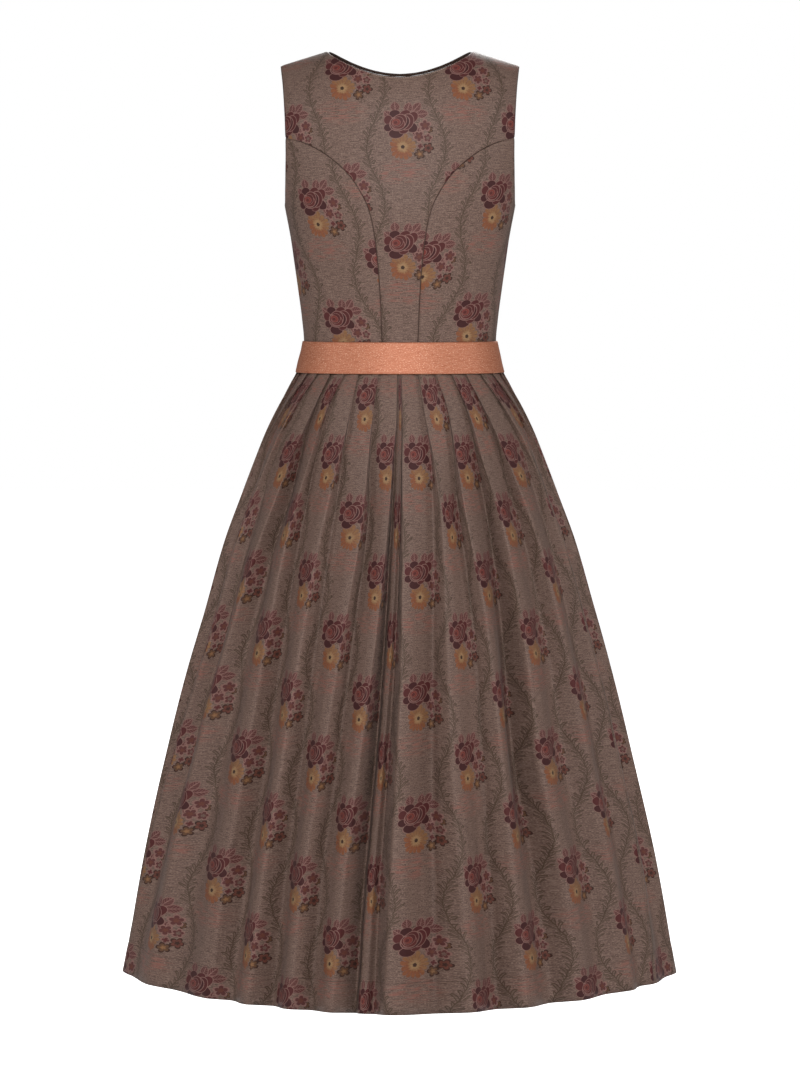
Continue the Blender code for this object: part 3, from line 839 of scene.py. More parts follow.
@dataclass(frozen=True)
class PosyColours:
    """Yarn colours of the posy, the ground and the vines, in linear light."""

    ground: Colour = (0.152, 0.096, 0.076, 1.0)
    ground_dark: Colour = (0.086, 0.052, 0.041, 1.0)
    ground_light: Colour = (0.245, 0.162, 0.130, 1.0)
    vine: Colour = (0.058, 0.036, 0.024, 1.0)
    vine_fill: Colour = (0.108, 0.073, 0.053, 1.0)
    streak: Colour = (0.270, 0.098, 0.075, 1.0)
    wine: Colour = (0.084, 0.021, 0.020, 1.0)
    wine_deep: Colour = (0.052, 0.016, 0.016, 1.0)
    wine_warm: Colour = (0.104, 0.025, 0.022, 1.0)
    heart: Colour = (0.185, 0.040, 0.031, 1.0)
    outline: Colour = (0.250, 0.132, 0.112, 1.0)
    plum: Colour = (0.106, 0.037, 0.034, 1.0)
    gold: Colour = (0.248, 0.124, 0.058, 1.0)
    amber: Colour = (0.238, 0.086, 0.040, 1.0)
    pale: Colour = (0.330, 0.200, 0.100, 1.0)
    ochre: Colour = (0.125, 0.062, 0.033, 1.0)
    tan: Colour = (0.250, 0.125, 0.058, 1.0)
    brown: Colour = (0.046, 0.024, 0.018, 1.0)
    rust: Colour = (0.140, 0.048, 0.034, 1.0)


@dataclass(frozen=True)
class FlowerSizes:
    """Shape of the petals and trailing flowers; each pair is an edge and its blur, or two ends."""

    petal_edge: Pair = (0.98, 0.04)
    petal_rim: Pair = (0.89, 0.94)
    notch: float = 0.42
    lobe: float = 0.58
    lobe_round: float = 0.55
    edge: Pair = (0.97, 0.06)
    rim: Pair = (0.70, 0.80)
    middle: Pair = (0.25, 0.2)


@dataclass(frozen=True)
class DaisySizes:
    """Shape of the daisy, in millimetres and shares of its radius."""

    radius: float = 17.0
    petals: float = 15.0
    drift_turns: float = 3.0
    drift: float = 0.45
    lump_turns: float = 5.0
    lump_start: float = 0.8
    lump: float = 0.06
    inner: float = 0.74
    lobe: float = 0.20
    lobe_round: float = 0.6
    edge: Pair = (0.97, 0.05)
    cleft: Pair = (0.10, 0.20)
    cleft_reach: Pair = (0.66, 0.90)
    ray: Pair = (0.08, 0.30)
    ray_reach: Pair = (0.24, 0.60)
    ray_strength: float = 0.55
    warm_lean: float = 0.7
    warm_side: Pair = (-6.0, 11.0)
    warm_reach: Pair = (0.25, 0.60)
    pale: Pair = (0.22, 0.35)
    dot: Pair = (0.13, 0.05)


@dataclass(frozen=True)
class LeafSizes:
    """Lines of a leaf in millimetres; each pair is an edge and its blur, or two ends."""

    edge: Pair = (0.0, 0.5)
    rim: Pair = (0.7, 0.5)
    rib: Pair = (0.3, 0.4)
    vein_gap: float = 1.5
    vein: Pair = (0.25, 0.4)
    vein_strength: float = 0.6


@dataclass(frozen=True)
class VineSizes:
    """Run and leaves of the vines, in millimetres."""

    middle: float = 37.7
    swing: float = 11.0
    tufts: float = 8.0
    leaves: float = 23.0
    stray: float = 2.6
    stray_scale: Pair = (0.11, 0.11)
    stem: Pair = (0.30, 0.5)
    leaf_length: float = 6.6
    tuft_length: float = 2.8
    leaf_climb: float = 1.55
    leaf_bend: float = 0.075
    leaf_round: float = 0.5
    leaf_width: float = 0.66
    tip: Pair = (0.0, 0.12)
    rim_start: Pair = (-0.5, -0.1)
    rim_end: Pair = (0.55, 0.4)
    inside: Pair = (-0.2, 0.3)
    line_strength: float = 0.80
    fill_strength: float = 0.40


@dataclass(frozen=True)
class YarnSizes:
    """Noise scales of the yarns, across and along the cloth, and the ends of their soft steps."""

    slub_scale: Pair = (90.0, 1150.0)
    slub_detail: float = 2.0
    slub_share: float = 0.6
    fleck_scale: Pair = (520.0, 1150.0)
    fleck_detail: float = 1.0
    fleck_share: float = 0.4
    ground: Pair = (0.30, 0.58)
    light: Pair = (0.54, 0.76)
    fleck: Pair = (0.48, 0.70)
    dash_scale: Pair = (60.0, 620.0)
    dash_detail: float = 2.0
    dash: Pair = (0.50, 0.60)
    dash_patch: Pair = (0.55, 0.55)
    dash_strength: float = 0.62
    worn: Pair = (0.42, 0.62)
    worn_strength: float = 0.34


class WovenPattern:
    """The jacquard's pattern as node groups: repeat, flowers, leaves, vines and yarn."""

    FLOWER = FlowerSizes()
    DAISY = DaisySizes()
    LEAF = LeafSizes()
    VINE = VineSizes()
    YARN = YarnSizes()
    ROSE = (
        Petal((-10.0, 41.0), (7.2, 5.0), 8.0, "wine_deep"),
        Petal((2.5, 40.5), (7.5, 5.0), 25.0, "wine"),
        Petal((12.0, 36.5), (8.2, 6.2), 48.0, "wine"),
        Petal((10.5, 24.5), (8.4, 6.4), 155.0, "wine_deep"),
        Petal((-18.2, 33.5), (6.0, 5.2), 70.0, "wine"),
        Petal((-18.2, 23.8), (5.4, 4.8), 10.0, "wine_deep"),
        Petal((-8.2, 16.6), (9.6, 6.2), 4.0, "wine_deep"),
        Petal((1.5, 20.8), (6.5, 4.4), 20.0, "wine"),
        Petal((5.0, 31.0), (10.8, 8.4), 62.0, "wine"),
        Petal((-3.8, 29.8), (13.2, 9.8), 22.0, "wine_deep"),
        Petal((-4.6, 30.8), (11.0, 8.6), 48.0, "wine"),
        Petal((-6.4, 29.2), (9.4, 7.2), -12.0, "wine_warm"),
        Petal((-6.2, 31.0), (7.6, 6.0), 35.0, "wine"),
        Petal((-8.0, 30.6), (5.4, 4.4), -5.0, "heart"),
        Petal((-8.9, 30.2), (2.9, 2.2), 25.0, "wine_warm"),
    )
    LEAVES = (
        Leaf((-9.6, 49.6), 14.0, 12.5, 96.0),
        Leaf((-18.5, 40.0), 13.0, 10.0, 140.0),
        Leaf((6.5, 48.2), 15.5, 11.5, 75.0),
        Leaf((17.0, 49.0), 16.0, 11.0, 50.0),
        Leaf((23.5, 40.8), 17.0, 11.5, 8.0),
        Leaf((15.0, 17.5), 13.0, 7.5, 120.0),
        Leaf((20.5, 20.5), 11.0, 6.5, 75.0),
    )
    TRAILING = (
        Blossom((20.0, 13.2), 8.0, 5.0, 0.3, "plum", "rust"),
        Blossom((30.8, 11.2), 6.5, 5.0, 1.1, "plum", "ground"),
        Blossom((33.2, 21.5), 4.6, 5.0, 0.5, "ochre", "brown"),
        Blossom((27.4, 26.6), 8.4, 5.0, 0.9, "plum", "rust"),
        Blossom((21.6, 0.8), 4.4, 4.0, 0.2, "plum", "wine_warm"),
        Blossom((31.5, -1.4), 7.2, 5.0, 0.1, "rust", "brown"),
        Blossom((20.8, -9.0), 7.0, 5.0, 0.6, "ochre", "tan"),
    )
    POSY_OFFSET = (8.0, 20.0)
    STREAK_OFFSET = (-1.0, -31.0)
    STREAK_HALF = (36.0, 17.0)
    VINE_OFFSET = (4.7, 0.0)

    def __init__(self, repeat: Repeat, colours: PosyColours) -> None:
        """Builds every group of the pattern.

        Args:
            repeat: Size of the half-drop repeat.
            colours: Yarn colours.
        """
        self.repeat = repeat
        self.colours = colours
        self.lattice = self._lattice()
        self.petal = self._petal()
        self.blossom = self._blossom()
        self.daisy = self._daisy()
        self.leaf = self._leaf()
        self.vine = self._vine()
        self.yarn = self._yarn()
        self.posy = self._posy()
        self.jacquard = self._jacquard()

    def _lattice(self) -> Group:
        """Group that gives the place from the nearest daisy's dot, in millimetres.

        Returns:
            The group.
        """
        group = Group("half_drop_lattice", {"Place": "Vector", "Offset": "Vector"},
                      {"Local": "Vector", "Column": "Vector"})
        desk = group.desk
        wide = self.repeat.width * MM
        tall = self.repeat.height * MM
        scaled = desk.vector("MULTIPLY", group.inputs["Place"], (MM, MM, 0.0))
        moved = desk.vector("SUBTRACT", scaled, group.inputs["Offset"])
        x, y = desk.split(moved)
        first_x = desk.math("WRAP", x, wide / 2, -wide / 2)
        first_y = desk.math("WRAP", y, tall / 2, -tall / 2)
        second_x = desk.math("WRAP", desk.math("ADD", x, wide / 2), wide / 2, -wide / 2)
        second_y = desk.math("WRAP", desk.math("ADD", y, tall / 2), tall / 2, -tall / 2)
        reach = desk.math(
            "ADD",
            desk.math("DIVIDE", desk.math("ABSOLUTE", first_x), wide / 2),
            desk.math("DIVIDE", desk.math("ABSOLUTE", first_y), tall / 2),
        )
        pick = desk.node("ShaderNodeMix", data_type="VECTOR")
        desk.feed(pick.inputs[0], desk.math("GREATER_THAN", reach, 1.0))
        nearest = ((first_x, first_y), (second_x, second_y))
        for socket, (across, up) in zip(VECTOR_SOCKETS, nearest):
            desk.feed(pick.inputs[socket], desk.join(across, up))
        local = desk.vector("ADD", pick.outputs[1], group.inputs["Offset"])
        group.give(Local=local, Column=desk.join(first_x, first_y))
        return group

    def _petal(self) -> Group:
        """Group of one oval petal with a light rim.

        Returns:
            The group.
        """
        takes = {"Place": "Vector", "Centre": "Vector", "Half": "Vector", "Turn": "Float"}
        group = Group("rimmed_petal", takes, {"Mask": "Float", "Line": "Float"})
        desk = group.desk
        take = group.inputs
        turned = desk.turned(take["Place"], take["Centre"], take["Turn"])
        far = desk.vector("LENGTH", desk.vector("DIVIDE", turned, take["Half"]))
        group.give(Mask=desk.below(far, *self.FLOWER.petal_edge),
                   Line=desk.ramp(far, *self.FLOWER.petal_rim))
        return group

    def _blossom(self) -> Group:
        """Group of a small flower with notched petals.

        Returns:
            The group.
        """
        takes = {"Place": "Vector", "Centre": "Vector", "Radius": "Float", "Petals": "Float",
                 "Turn": "Float"}
        gives = {"Mask": "Float", "Line": "Float", "Radial": "Float"}
        group = Group("notched_blossom", takes, gives)
        desk = group.desk
        take = group.inputs
        size = self.FLOWER
        away = desk.vector("SUBTRACT", take["Place"], take["Centre"])
        x, y = desk.split(away)
        radial = desk.vector("LENGTH", away)
        angle = desk.math("ADD", desk.math("ARCTAN2", y, x), take["Turn"])
        half = desk.math("MULTIPLY", angle, desk.math("MULTIPLY", take["Petals"], 0.5))
        lobe = desk.math("ABSOLUTE", desk.math("COSINE", half))
        lobe = desk.math("MULTIPLY", desk.math("POWER", lobe, size.lobe_round), size.lobe)
        full = desk.math("ADD", size.notch, lobe)
        share = desk.math("DIVIDE", radial, desk.math("MULTIPLY", take["Radius"], full))
        group.give(Mask=desk.below(share, *size.edge), Line=desk.ramp(share, *size.rim),
                   Radial=share)
        return group

    def _daisy(self) -> Group:
        """Group of the daisy: narrow petals of uneven length, parted towards their tips.

        Returns:
            The group.
        """
        group = Group("rayed_daisy", {"Place": "Vector"},
                      {"Mask": "Float", "Ray": "Float", "Radial": "Float", "Warm": "Float"})
        desk = group.desk
        size = self.DAISY
        x, y = desk.split(group.inputs["Place"])
        radial = desk.vector("LENGTH", desk.join(x, y))
        angle = desk.math("ARCTAN2", y, x)
        drift = desk.math("SINE", desk.math("MULTIPLY", angle, size.drift_turns))
        uneven = desk.math("MULTIPLY", drift, size.drift)
        spread = desk.math("ADD", desk.math("MULTIPLY", angle, size.petals / 2), uneven)
        lobe = desk.math("ABSOLUTE", desk.math("COSINE", spread))
        lump = desk.math("ADD", desk.math("MULTIPLY", angle, size.lump_turns), size.lump_start)
        lump = desk.math("MULTIPLY", desk.math("SINE", lump), size.lump)
        full = desk.math("MULTIPLY", desk.math("POWER", lobe, size.lobe_round), size.lobe)
        full = desk.math("ADD", desk.math("ADD", size.inner, full), lump)
        share = desk.math("DIVIDE", radial, desk.math("MULTIPLY", full, size.radius))
        parted = desk.math("MULTIPLY", desk.below(lobe, *size.cleft),
                           desk.ramp(share, *size.cleft_reach))
        mask = desk.math("MULTIPLY", desk.below(share, *size.edge),
                         desk.math("SUBTRACT", 1.0, parted))
        ray = desk.math("MULTIPLY", desk.below(lobe, *size.ray), desk.ramp(share, *size.ray_reach))
        side = desk.math("ADD", desk.math("MULTIPLY", x, size.warm_lean), y)
        warm = desk.math("MULTIPLY", desk.below(side, *size.warm_side),
                         desk.ramp(share, *size.warm_reach))
        group.give(Mask=mask, Ray=ray, Radial=share, Warm=warm)
        return group

    def _leaf(self) -> Group:
        """Group of a pointed leaf with a midrib and side veins.

        Returns:
            The group.
        """
        takes = {"Place": "Vector", "Centre": "Vector", "Length": "Float", "Width": "Float",
                 "Turn": "Float"}
        group = Group("veined_leaf", takes, {"Mask": "Float", "Line": "Float"})
        desk = group.desk
        take = group.inputs
        size = self.LEAF
        along, side = desk.split(desk.turned(take["Place"], take["Centre"], take["Turn"]))
        share = desk.math("DIVIDE", along, desk.math("MULTIPLY", take["Length"], 0.5))
        bow = desk.math("SUBTRACT", 1.0, desk.math("MULTIPLY", share, share))
        off = desk.math("ABSOLUTE", side)
        half = desk.math("MULTIPLY", take["Width"], 0.5)
        inside = desk.math("SUBTRACT", desk.math("MULTIPLY", half, bow), off)
        rim = desk.below(inside, *size.rim)
        rib = desk.below(off, *size.rib)
        run = desk.math("WRAP", desk.math("SUBTRACT", along, off), size.vein_gap, -size.vein_gap)
        vein = desk.below(desk.math("ABSOLUTE", run), *size.vein)
        vein = desk.math("MULTIPLY", vein, size.vein_strength)
        line = desk.math("MAXIMUM", desk.math("MAXIMUM", rim, rib), vein)
        group.give(Mask=desk.ramp(inside, *size.edge), Line=line)
        return group

    def _vine(self) -> Group:
        """Group of the wavy feathered vines between the columns of posies.

        Returns:
            The group.
        """
        group = Group("feathered_vine", {"Column": "Vector"}, {"Line": "Float", "Fill": "Float"})
        desk = group.desk
        size = self.VINE
        tall = self.repeat.height * MM
        stray = desk.noise(group.inputs["Column"], size.stray_scale, 1.0)
        stray = desk.math("MULTIPLY", desk.math("SUBTRACT", stray, 0.5), size.stray * 2)
        x, y = desk.split(group.inputs["Column"])
        wave = desk.math("COSINE", desk.math("MULTIPLY", y, 2 * math.pi / tall))
        middle = desk.math("ADD", size.middle, desk.math("MULTIPLY", wave, size.swing))
        off = desk.math("SUBTRACT", desk.math("ABSOLUTE", x), middle)
        off = desk.math("ADD", off, stray)
        reach = desk.math("ABSOLUTE", off)
        stem = desk.below(reach, *size.stem)
        tuft = desk.math("COSINE", desk.math("MULTIPLY", y, 2 * math.pi * size.tufts / tall))
        length = desk.math("ADD", size.leaf_length, desk.math("MULTIPLY", tuft, size.tuft_length))
        side = desk.math("MULTIPLY", desk.math("SIGN", off), tall / size.leaves / 4)
        bend = desk.math("MULTIPLY", desk.math("MULTIPLY", reach, reach), size.leaf_bend)
        climb = desk.math("SUBTRACT", desk.math("MULTIPLY", reach, size.leaf_climb), bend)
        phase = desk.math("ADD", desk.math("SUBTRACT", y, climb), desk.math("ADD", side, stray))
        pitch = tall / size.leaves / 2
        slot = desk.math("ABSOLUTE", desk.math("WRAP", phase, pitch, -pitch))
        left = desk.math("SUBTRACT", 1.0, desk.math("DIVIDE", reach, length))
        left = desk.math("MAXIMUM", left, 0.0)
        blade = desk.math("POWER", left, size.leaf_round)
        blade = desk.math("MULTIPLY", blade, pitch * size.leaf_width)
        inside = desk.math("SUBTRACT", blade, slot)
        live = desk.ramp(left, *size.tip)
        rim = desk.math("MULTIPLY", desk.ramp(inside, *size.rim_start),
                        desk.below(inside, *size.rim_end))
        group.give(Line=desk.math("MAXIMUM", stem, desk.math("MULTIPLY", rim, live)),
                   Fill=desk.math("MULTIPLY", desk.ramp(inside, *size.inside), live))
        return group

    def _yarn(self) -> Group:
        """Group of the melange yarns: slubs that run across the cloth, and their height.

        Returns:
            The group.
        """
        group = Group("melange_yarn", {"Place": "Vector"},
                      {"Slub": "Float", "Fleck": "Float", "Height": "Float"})
        desk = group.desk
        place = group.inputs["Place"]
        size = self.YARN
        slub = desk.noise(place, size.slub_scale, size.slub_detail)
        fleck = desk.noise(place, size.fleck_scale, size.fleck_detail)
        height = desk.math("ADD", desk.math("MULTIPLY", slub, size.slub_share),
                           desk.math("MULTIPLY", fleck, size.fleck_share))
        group.give(Slub=slub, Fleck=fleck, Height=height)
        return group

    def _posy(self) -> Group:
        """Group that lays the whole posy over a ground colour.

        Returns:
            The group.
        """
        group = Group("rose_posy", {"Place": "Vector", "Ground": "Color"},
                      {"Color": "Color", "Mask": "Float"})
        desk = group.desk
        place = group.inputs["Place"]
        paint = self.colours
        colour = group.inputs["Ground"]
        whole = 0.0
        for leaf in self.LEAVES:
            out = self.leaf.use(desk, Place=place, Centre=(*leaf.centre, 0.0), Length=leaf.length,
                                Width=leaf.width, Turn=math.radians(leaf.turn))
            fill = desk.blend(out["Line"], paint.plum, paint.outline)
            colour = desk.blend(out["Mask"], colour, fill)
            whole = desk.math("MAXIMUM", whole, out["Mask"])
        for flower in self.TRAILING:
            out = self.blossom.use(desk, Place=place, Centre=(*flower.centre, 0.0),
                                   Radius=flower.radius, Petals=flower.petals, Turn=flower.turn)
            rim = paint.outline if flower.yarn == "plum" else paint.brown
            fill = desk.blend(out["Line"], getattr(paint, flower.yarn), rim)
            middle = desk.below(out["Radial"], *self.FLOWER.middle)
            fill = desk.blend(middle, fill, getattr(paint, flower.middle))
            colour = desk.blend(out["Mask"], colour, fill)
            whole = desk.math("MAXIMUM", whole, out["Mask"])
        daisy = self.daisy.use(desk, Place=place)
        fill = desk.blend(daisy["Warm"], paint.gold, paint.amber)
        ray = desk.math("MULTIPLY", daisy["Ray"], self.DAISY.ray_strength)
        fill = desk.blend(ray, fill, paint.rust)
        fill = desk.blend(desk.below(daisy["Radial"], *self.DAISY.pale), fill, paint.pale)
        fill = desk.blend(desk.below(daisy["Radial"], *self.DAISY.dot), fill, paint.brown)
        colour = desk.blend(daisy["Mask"], colour, fill)
        whole = desk.math("MAXIMUM", whole, daisy["Mask"])
        for petal in self.ROSE:
            out = self.petal.use(desk, Place=place, Centre=(*petal.centre, 0.0),
                                 Half=(*petal.half, 1.0), Turn=math.radians(petal.turn))
            fill = desk.blend(out["Line"], getattr(paint, petal.yarn), paint.outline)
            colour = desk.blend(out["Mask"], colour, fill)
            whole = desk.math("MAXIMUM", whole, out["Mask"])
        group.give(Color=colour, Mask=whole)
        return group

    def _jacquard(self) -> Group:
        """Group of the whole cloth: its colour and the height of its yarns.

        Returns:
            The group.
        """
        group = Group("flowered_jacquard", {"Place": "Vector"},
                      {"Color": "Color", "Height": "Float"})
        desk = group.desk
        place = group.inputs["Place"]
        paint = self.colours
        size = self.YARN
        yarn = self.yarn.use(desk, Place=place)
        colour = desk.blend(desk.ramp(yarn["Slub"], *size.ground), paint.ground_dark, paint.ground)
        colour = desk.blend(desk.ramp(yarn["Slub"], *size.light), colour, paint.ground_light)
        colour = desk.blend(desk.ramp(yarn["Fleck"], *size.fleck), colour, paint.ground_light)
        streaks = self.lattice.use(desk, Place=place, Offset=(*self.STREAK_OFFSET, 0.0))["Local"]
        spot = desk.vector("SUBTRACT", streaks, (*self.STREAK_OFFSET, 0.0))
        spot = desk.vector("LENGTH", desk.vector("DIVIDE", spot, (*self.STREAK_HALF, 1.0)))
        dash = desk.ramp(desk.noise(place, size.dash_scale, size.dash_detail), *size.dash)
        tint = desk.math("MULTIPLY", desk.below(spot, *size.dash_patch), dash)
        tint = desk.math("MULTIPLY", tint, size.dash_strength)
        colour = desk.blend(tint, colour, paint.streak)
        column = self.lattice.use(desk, Place=place, Offset=(*self.VINE_OFFSET, 0.0))["Column"]
        vine = self.vine.use(desk, Column=column)
        fill = desk.math("MULTIPLY", vine["Fill"], self.VINE.fill_strength)
        colour = desk.blend(fill, colour, paint.vine_fill)
        line = desk.math("MULTIPLY", vine["Line"], self.VINE.line_strength)
        colour = desk.blend(line, colour, paint.vine)
        local = self.lattice.use(desk, Place=place, Offset=(*self.POSY_OFFSET, 0.0))["Local"]
        posy = self.posy.use(desk, Place=local, Ground=colour)
        worn = desk.ramp(yarn["Height"], *size.worn)
        worn = desk.math("MULTIPLY", worn, size.worn_strength)
        dimmed = desk.blend(worn, posy["Color"], paint.wine_deep)
        colour = desk.blend(posy["Mask"], posy["Color"], dimmed)
        group.give(Color=colour, Height=yarn["Height"])
        return group


# ---- finishes ----------------------------------------------------------------------------------
def add_material(name: str) -> tuple[bpy.types.Material, Desk, bpy.types.Node]:
    """Makes a node material.

    Args:
        name: Name of the material.

    Returns:
        The material, the desk of its tree and its shader.
    """
    made = bpy.data.materials.new(name)
    made.use_nodes = True
    return made, Desk(made.node_tree), made.node_tree.nodes["Principled BSDF"]


@dataclass(frozen=True)
class JacquardFinish:
    """Flowered jacquard with a soft sheen, painted shade lines along its seams and edges, and
    stitched lines.
    """

    name: str
    roughness: float = 0.54
    sheen: float = 0.03
    sheen_roughness: float = 0.45
    shine: float = 0.18
    relief: float = 0.00012
    # Painted shade on the bodice: a dark line along its seams, armholes and neck edge; the skirt's
    # hem thread is drawn in the same dark colour.
    shade_line_and_thread_colour: Colour = (0.060, 0.036, 0.028, 1.0)
    # Half width and blur of the painted shade line.
    edge: Pair = (0.0004, 0.0005)
    stitch_colour: Colour = (0.420, 0.330, 0.280, 1.0)
    stitch_inset: float = 0.0020
    stitch: Pair = (0.0003, 0.0004)
    stitch_pitch: float = 0.0028
    stitch_length: Pair = (0.62, 0.1)
    stitch_strength: float = 0.85
    hem_stitch: float = 0.0
    hem_thread: Pair = (0.0003, 0.0003)
    hem_strength: float = 0.5

    def material(self, pattern: WovenPattern) -> bpy.types.Material:
        """Builds the material.

        Args:
            pattern: The woven pattern's node groups.

        Returns:
            A node material that reads the "cloth" and "edges" UV maps.
        """
        made, desk, shader = add_material(self.name)
        place = desk.node("ShaderNodeUVMap", uv_map="cloth").outputs[0]
        cloth = pattern.jacquard.use(desk, Place=place)
        edges = desk.node("ShaderNodeUVMap", uv_map="edges").outputs[0]
        neck, seam = desk.split(edges)
        if self.hem_stitch:
            thread = desk.line_at(seam, self.hem_stitch, self.hem_thread)
            thread = desk.math("MULTIPLY", thread, self.hem_strength)
            colour = desk.blend(thread, cloth["Color"], self.shade_line_and_thread_colour)
        else:
            # Painted shade: a dark line along the bodice's seams, armholes and neck edge.
            rim = desk.below(desk.math("MINIMUM", neck, seam), *self.edge)
            colour = desk.blend(rim, cloth["Color"], self.shade_line_and_thread_colour)
            beat = desk.math("WRAP", desk.split(place)[0], self.stitch_pitch, 0.0)
            dash = desk.below(beat, *(self.stitch_pitch * part for part in self.stitch_length))
            row = desk.line_at(neck, self.stitch_inset, self.stitch)
            thread = desk.math("MULTIPLY", desk.math("MULTIPLY", row, dash), self.stitch_strength)
            colour = desk.blend(thread, colour, self.stitch_colour)
        desk.feed(shader.inputs["Base Color"], colour)
        desk.emboss(shader, cloth["Height"], self.relief)
        shader.inputs["Roughness"].default_value = self.roughness
        shader.inputs["Sheen Weight"].default_value = self.sheen
        shader.inputs["Sheen Roughness"].default_value = self.sheen_roughness
        shader.inputs["Specular IOR Level"].default_value = self.shine
        return made


@dataclass(frozen=True)
class SatinFinish:
    """Copper satin with a fine yarn grain whose lighter flecks are painted highlight (glints)."""

    name: str = "copper_satin"
    deep: Colour = (0.400, 0.118, 0.055, 1.0)
    bright: Colour = (0.520, 0.200, 0.110, 1.0)
    # Painted highlight: the glint colour, laid in fine flecks over the yarn grain.
    glint: Colour = (0.740, 0.460, 0.320, 1.0)
    yarn: Pair = (0.30, 0.66)
    grain_and_painted_glint: Pair = (0.56, 0.74)
    metal: float = 0.38
    roughness: float = 0.46
    unevenness: float = 0.2
    relief: float = 0.00010
    stitch_inset: float = 0.0022
    stitch: Pair = (0.0002, 0.0003)
    stitch_strength: float = 0.35

    def material(self, pattern: WovenPattern) -> bpy.types.Material:
        """Builds the material that reads the belt's "cloth" UV map.

        Args:
            pattern: The woven pattern, for its yarn.

        Returns:
            The material.
        """
        made, desk, shader = add_material(self.name)
        place = desk.node("ShaderNodeUVMap", uv_map="cloth").outputs[0]
        yarn = pattern.yarn.use(desk, Place=place)
        colour = desk.blend(desk.ramp(yarn["Slub"], *self.yarn), self.deep, self.bright)
        # Painted highlight: glint flecks over the satin's yarn colours.
        colour = desk.blend(desk.ramp(yarn["Fleck"], *self.grain_and_painted_glint), colour, self.glint)
        edges = desk.node("ShaderNodeUVMap", uv_map="edges").outputs[0]
        thread = desk.line_at(desk.split(edges)[0], self.stitch_inset, self.stitch)
        thread = desk.math("MULTIPLY", thread, self.stitch_strength)
        colour = desk.blend(thread, colour, self.deep)
        desk.feed(shader.inputs["Base Color"], colour)
        desk.emboss(shader, yarn["Height"], self.relief)
        uneven = desk.math("MULTIPLY", yarn["Fleck"], self.unevenness)
        desk.feed(shader.inputs["Roughness"], desk.math("ADD", self.roughness, uneven))
        shader.inputs["Metallic"].default_value = self.metal
        return made


@dataclass(frozen=True)
class CordFinish:
    """Dark matt cord of the neck piping."""

    name: str = "dark_cord"
    colour: Colour = (0.024, 0.013, 0.010, 1.0)
    light: Colour = (0.050, 0.031, 0.024, 1.0)
    fleck: Pair = (0.4, 0.7)
    roughness: float = 0.90
    shine: float = 0.15

    def material(self, pattern: WovenPattern) -> bpy.types.Material:
        """Builds the material on Object coordinates.

        Args:
            pattern: The woven pattern, for its yarn.

        Returns:
            The material.
        """
        made, desk, shader = add_material(self.name)
        place = desk.node("ShaderNodeTexCoord").outputs["Object"]
        yarn = pattern.yarn.use(desk, Place=place)
        colour = desk.blend(desk.ramp(yarn["Fleck"], *self.fleck), self.colour, self.light)
        desk.feed(shader.inputs["Base Color"], colour)
        shader.inputs["Roughness"].default_value = self.roughness
        shader.inputs["Specular IOR Level"].default_value = self.shine
        return made


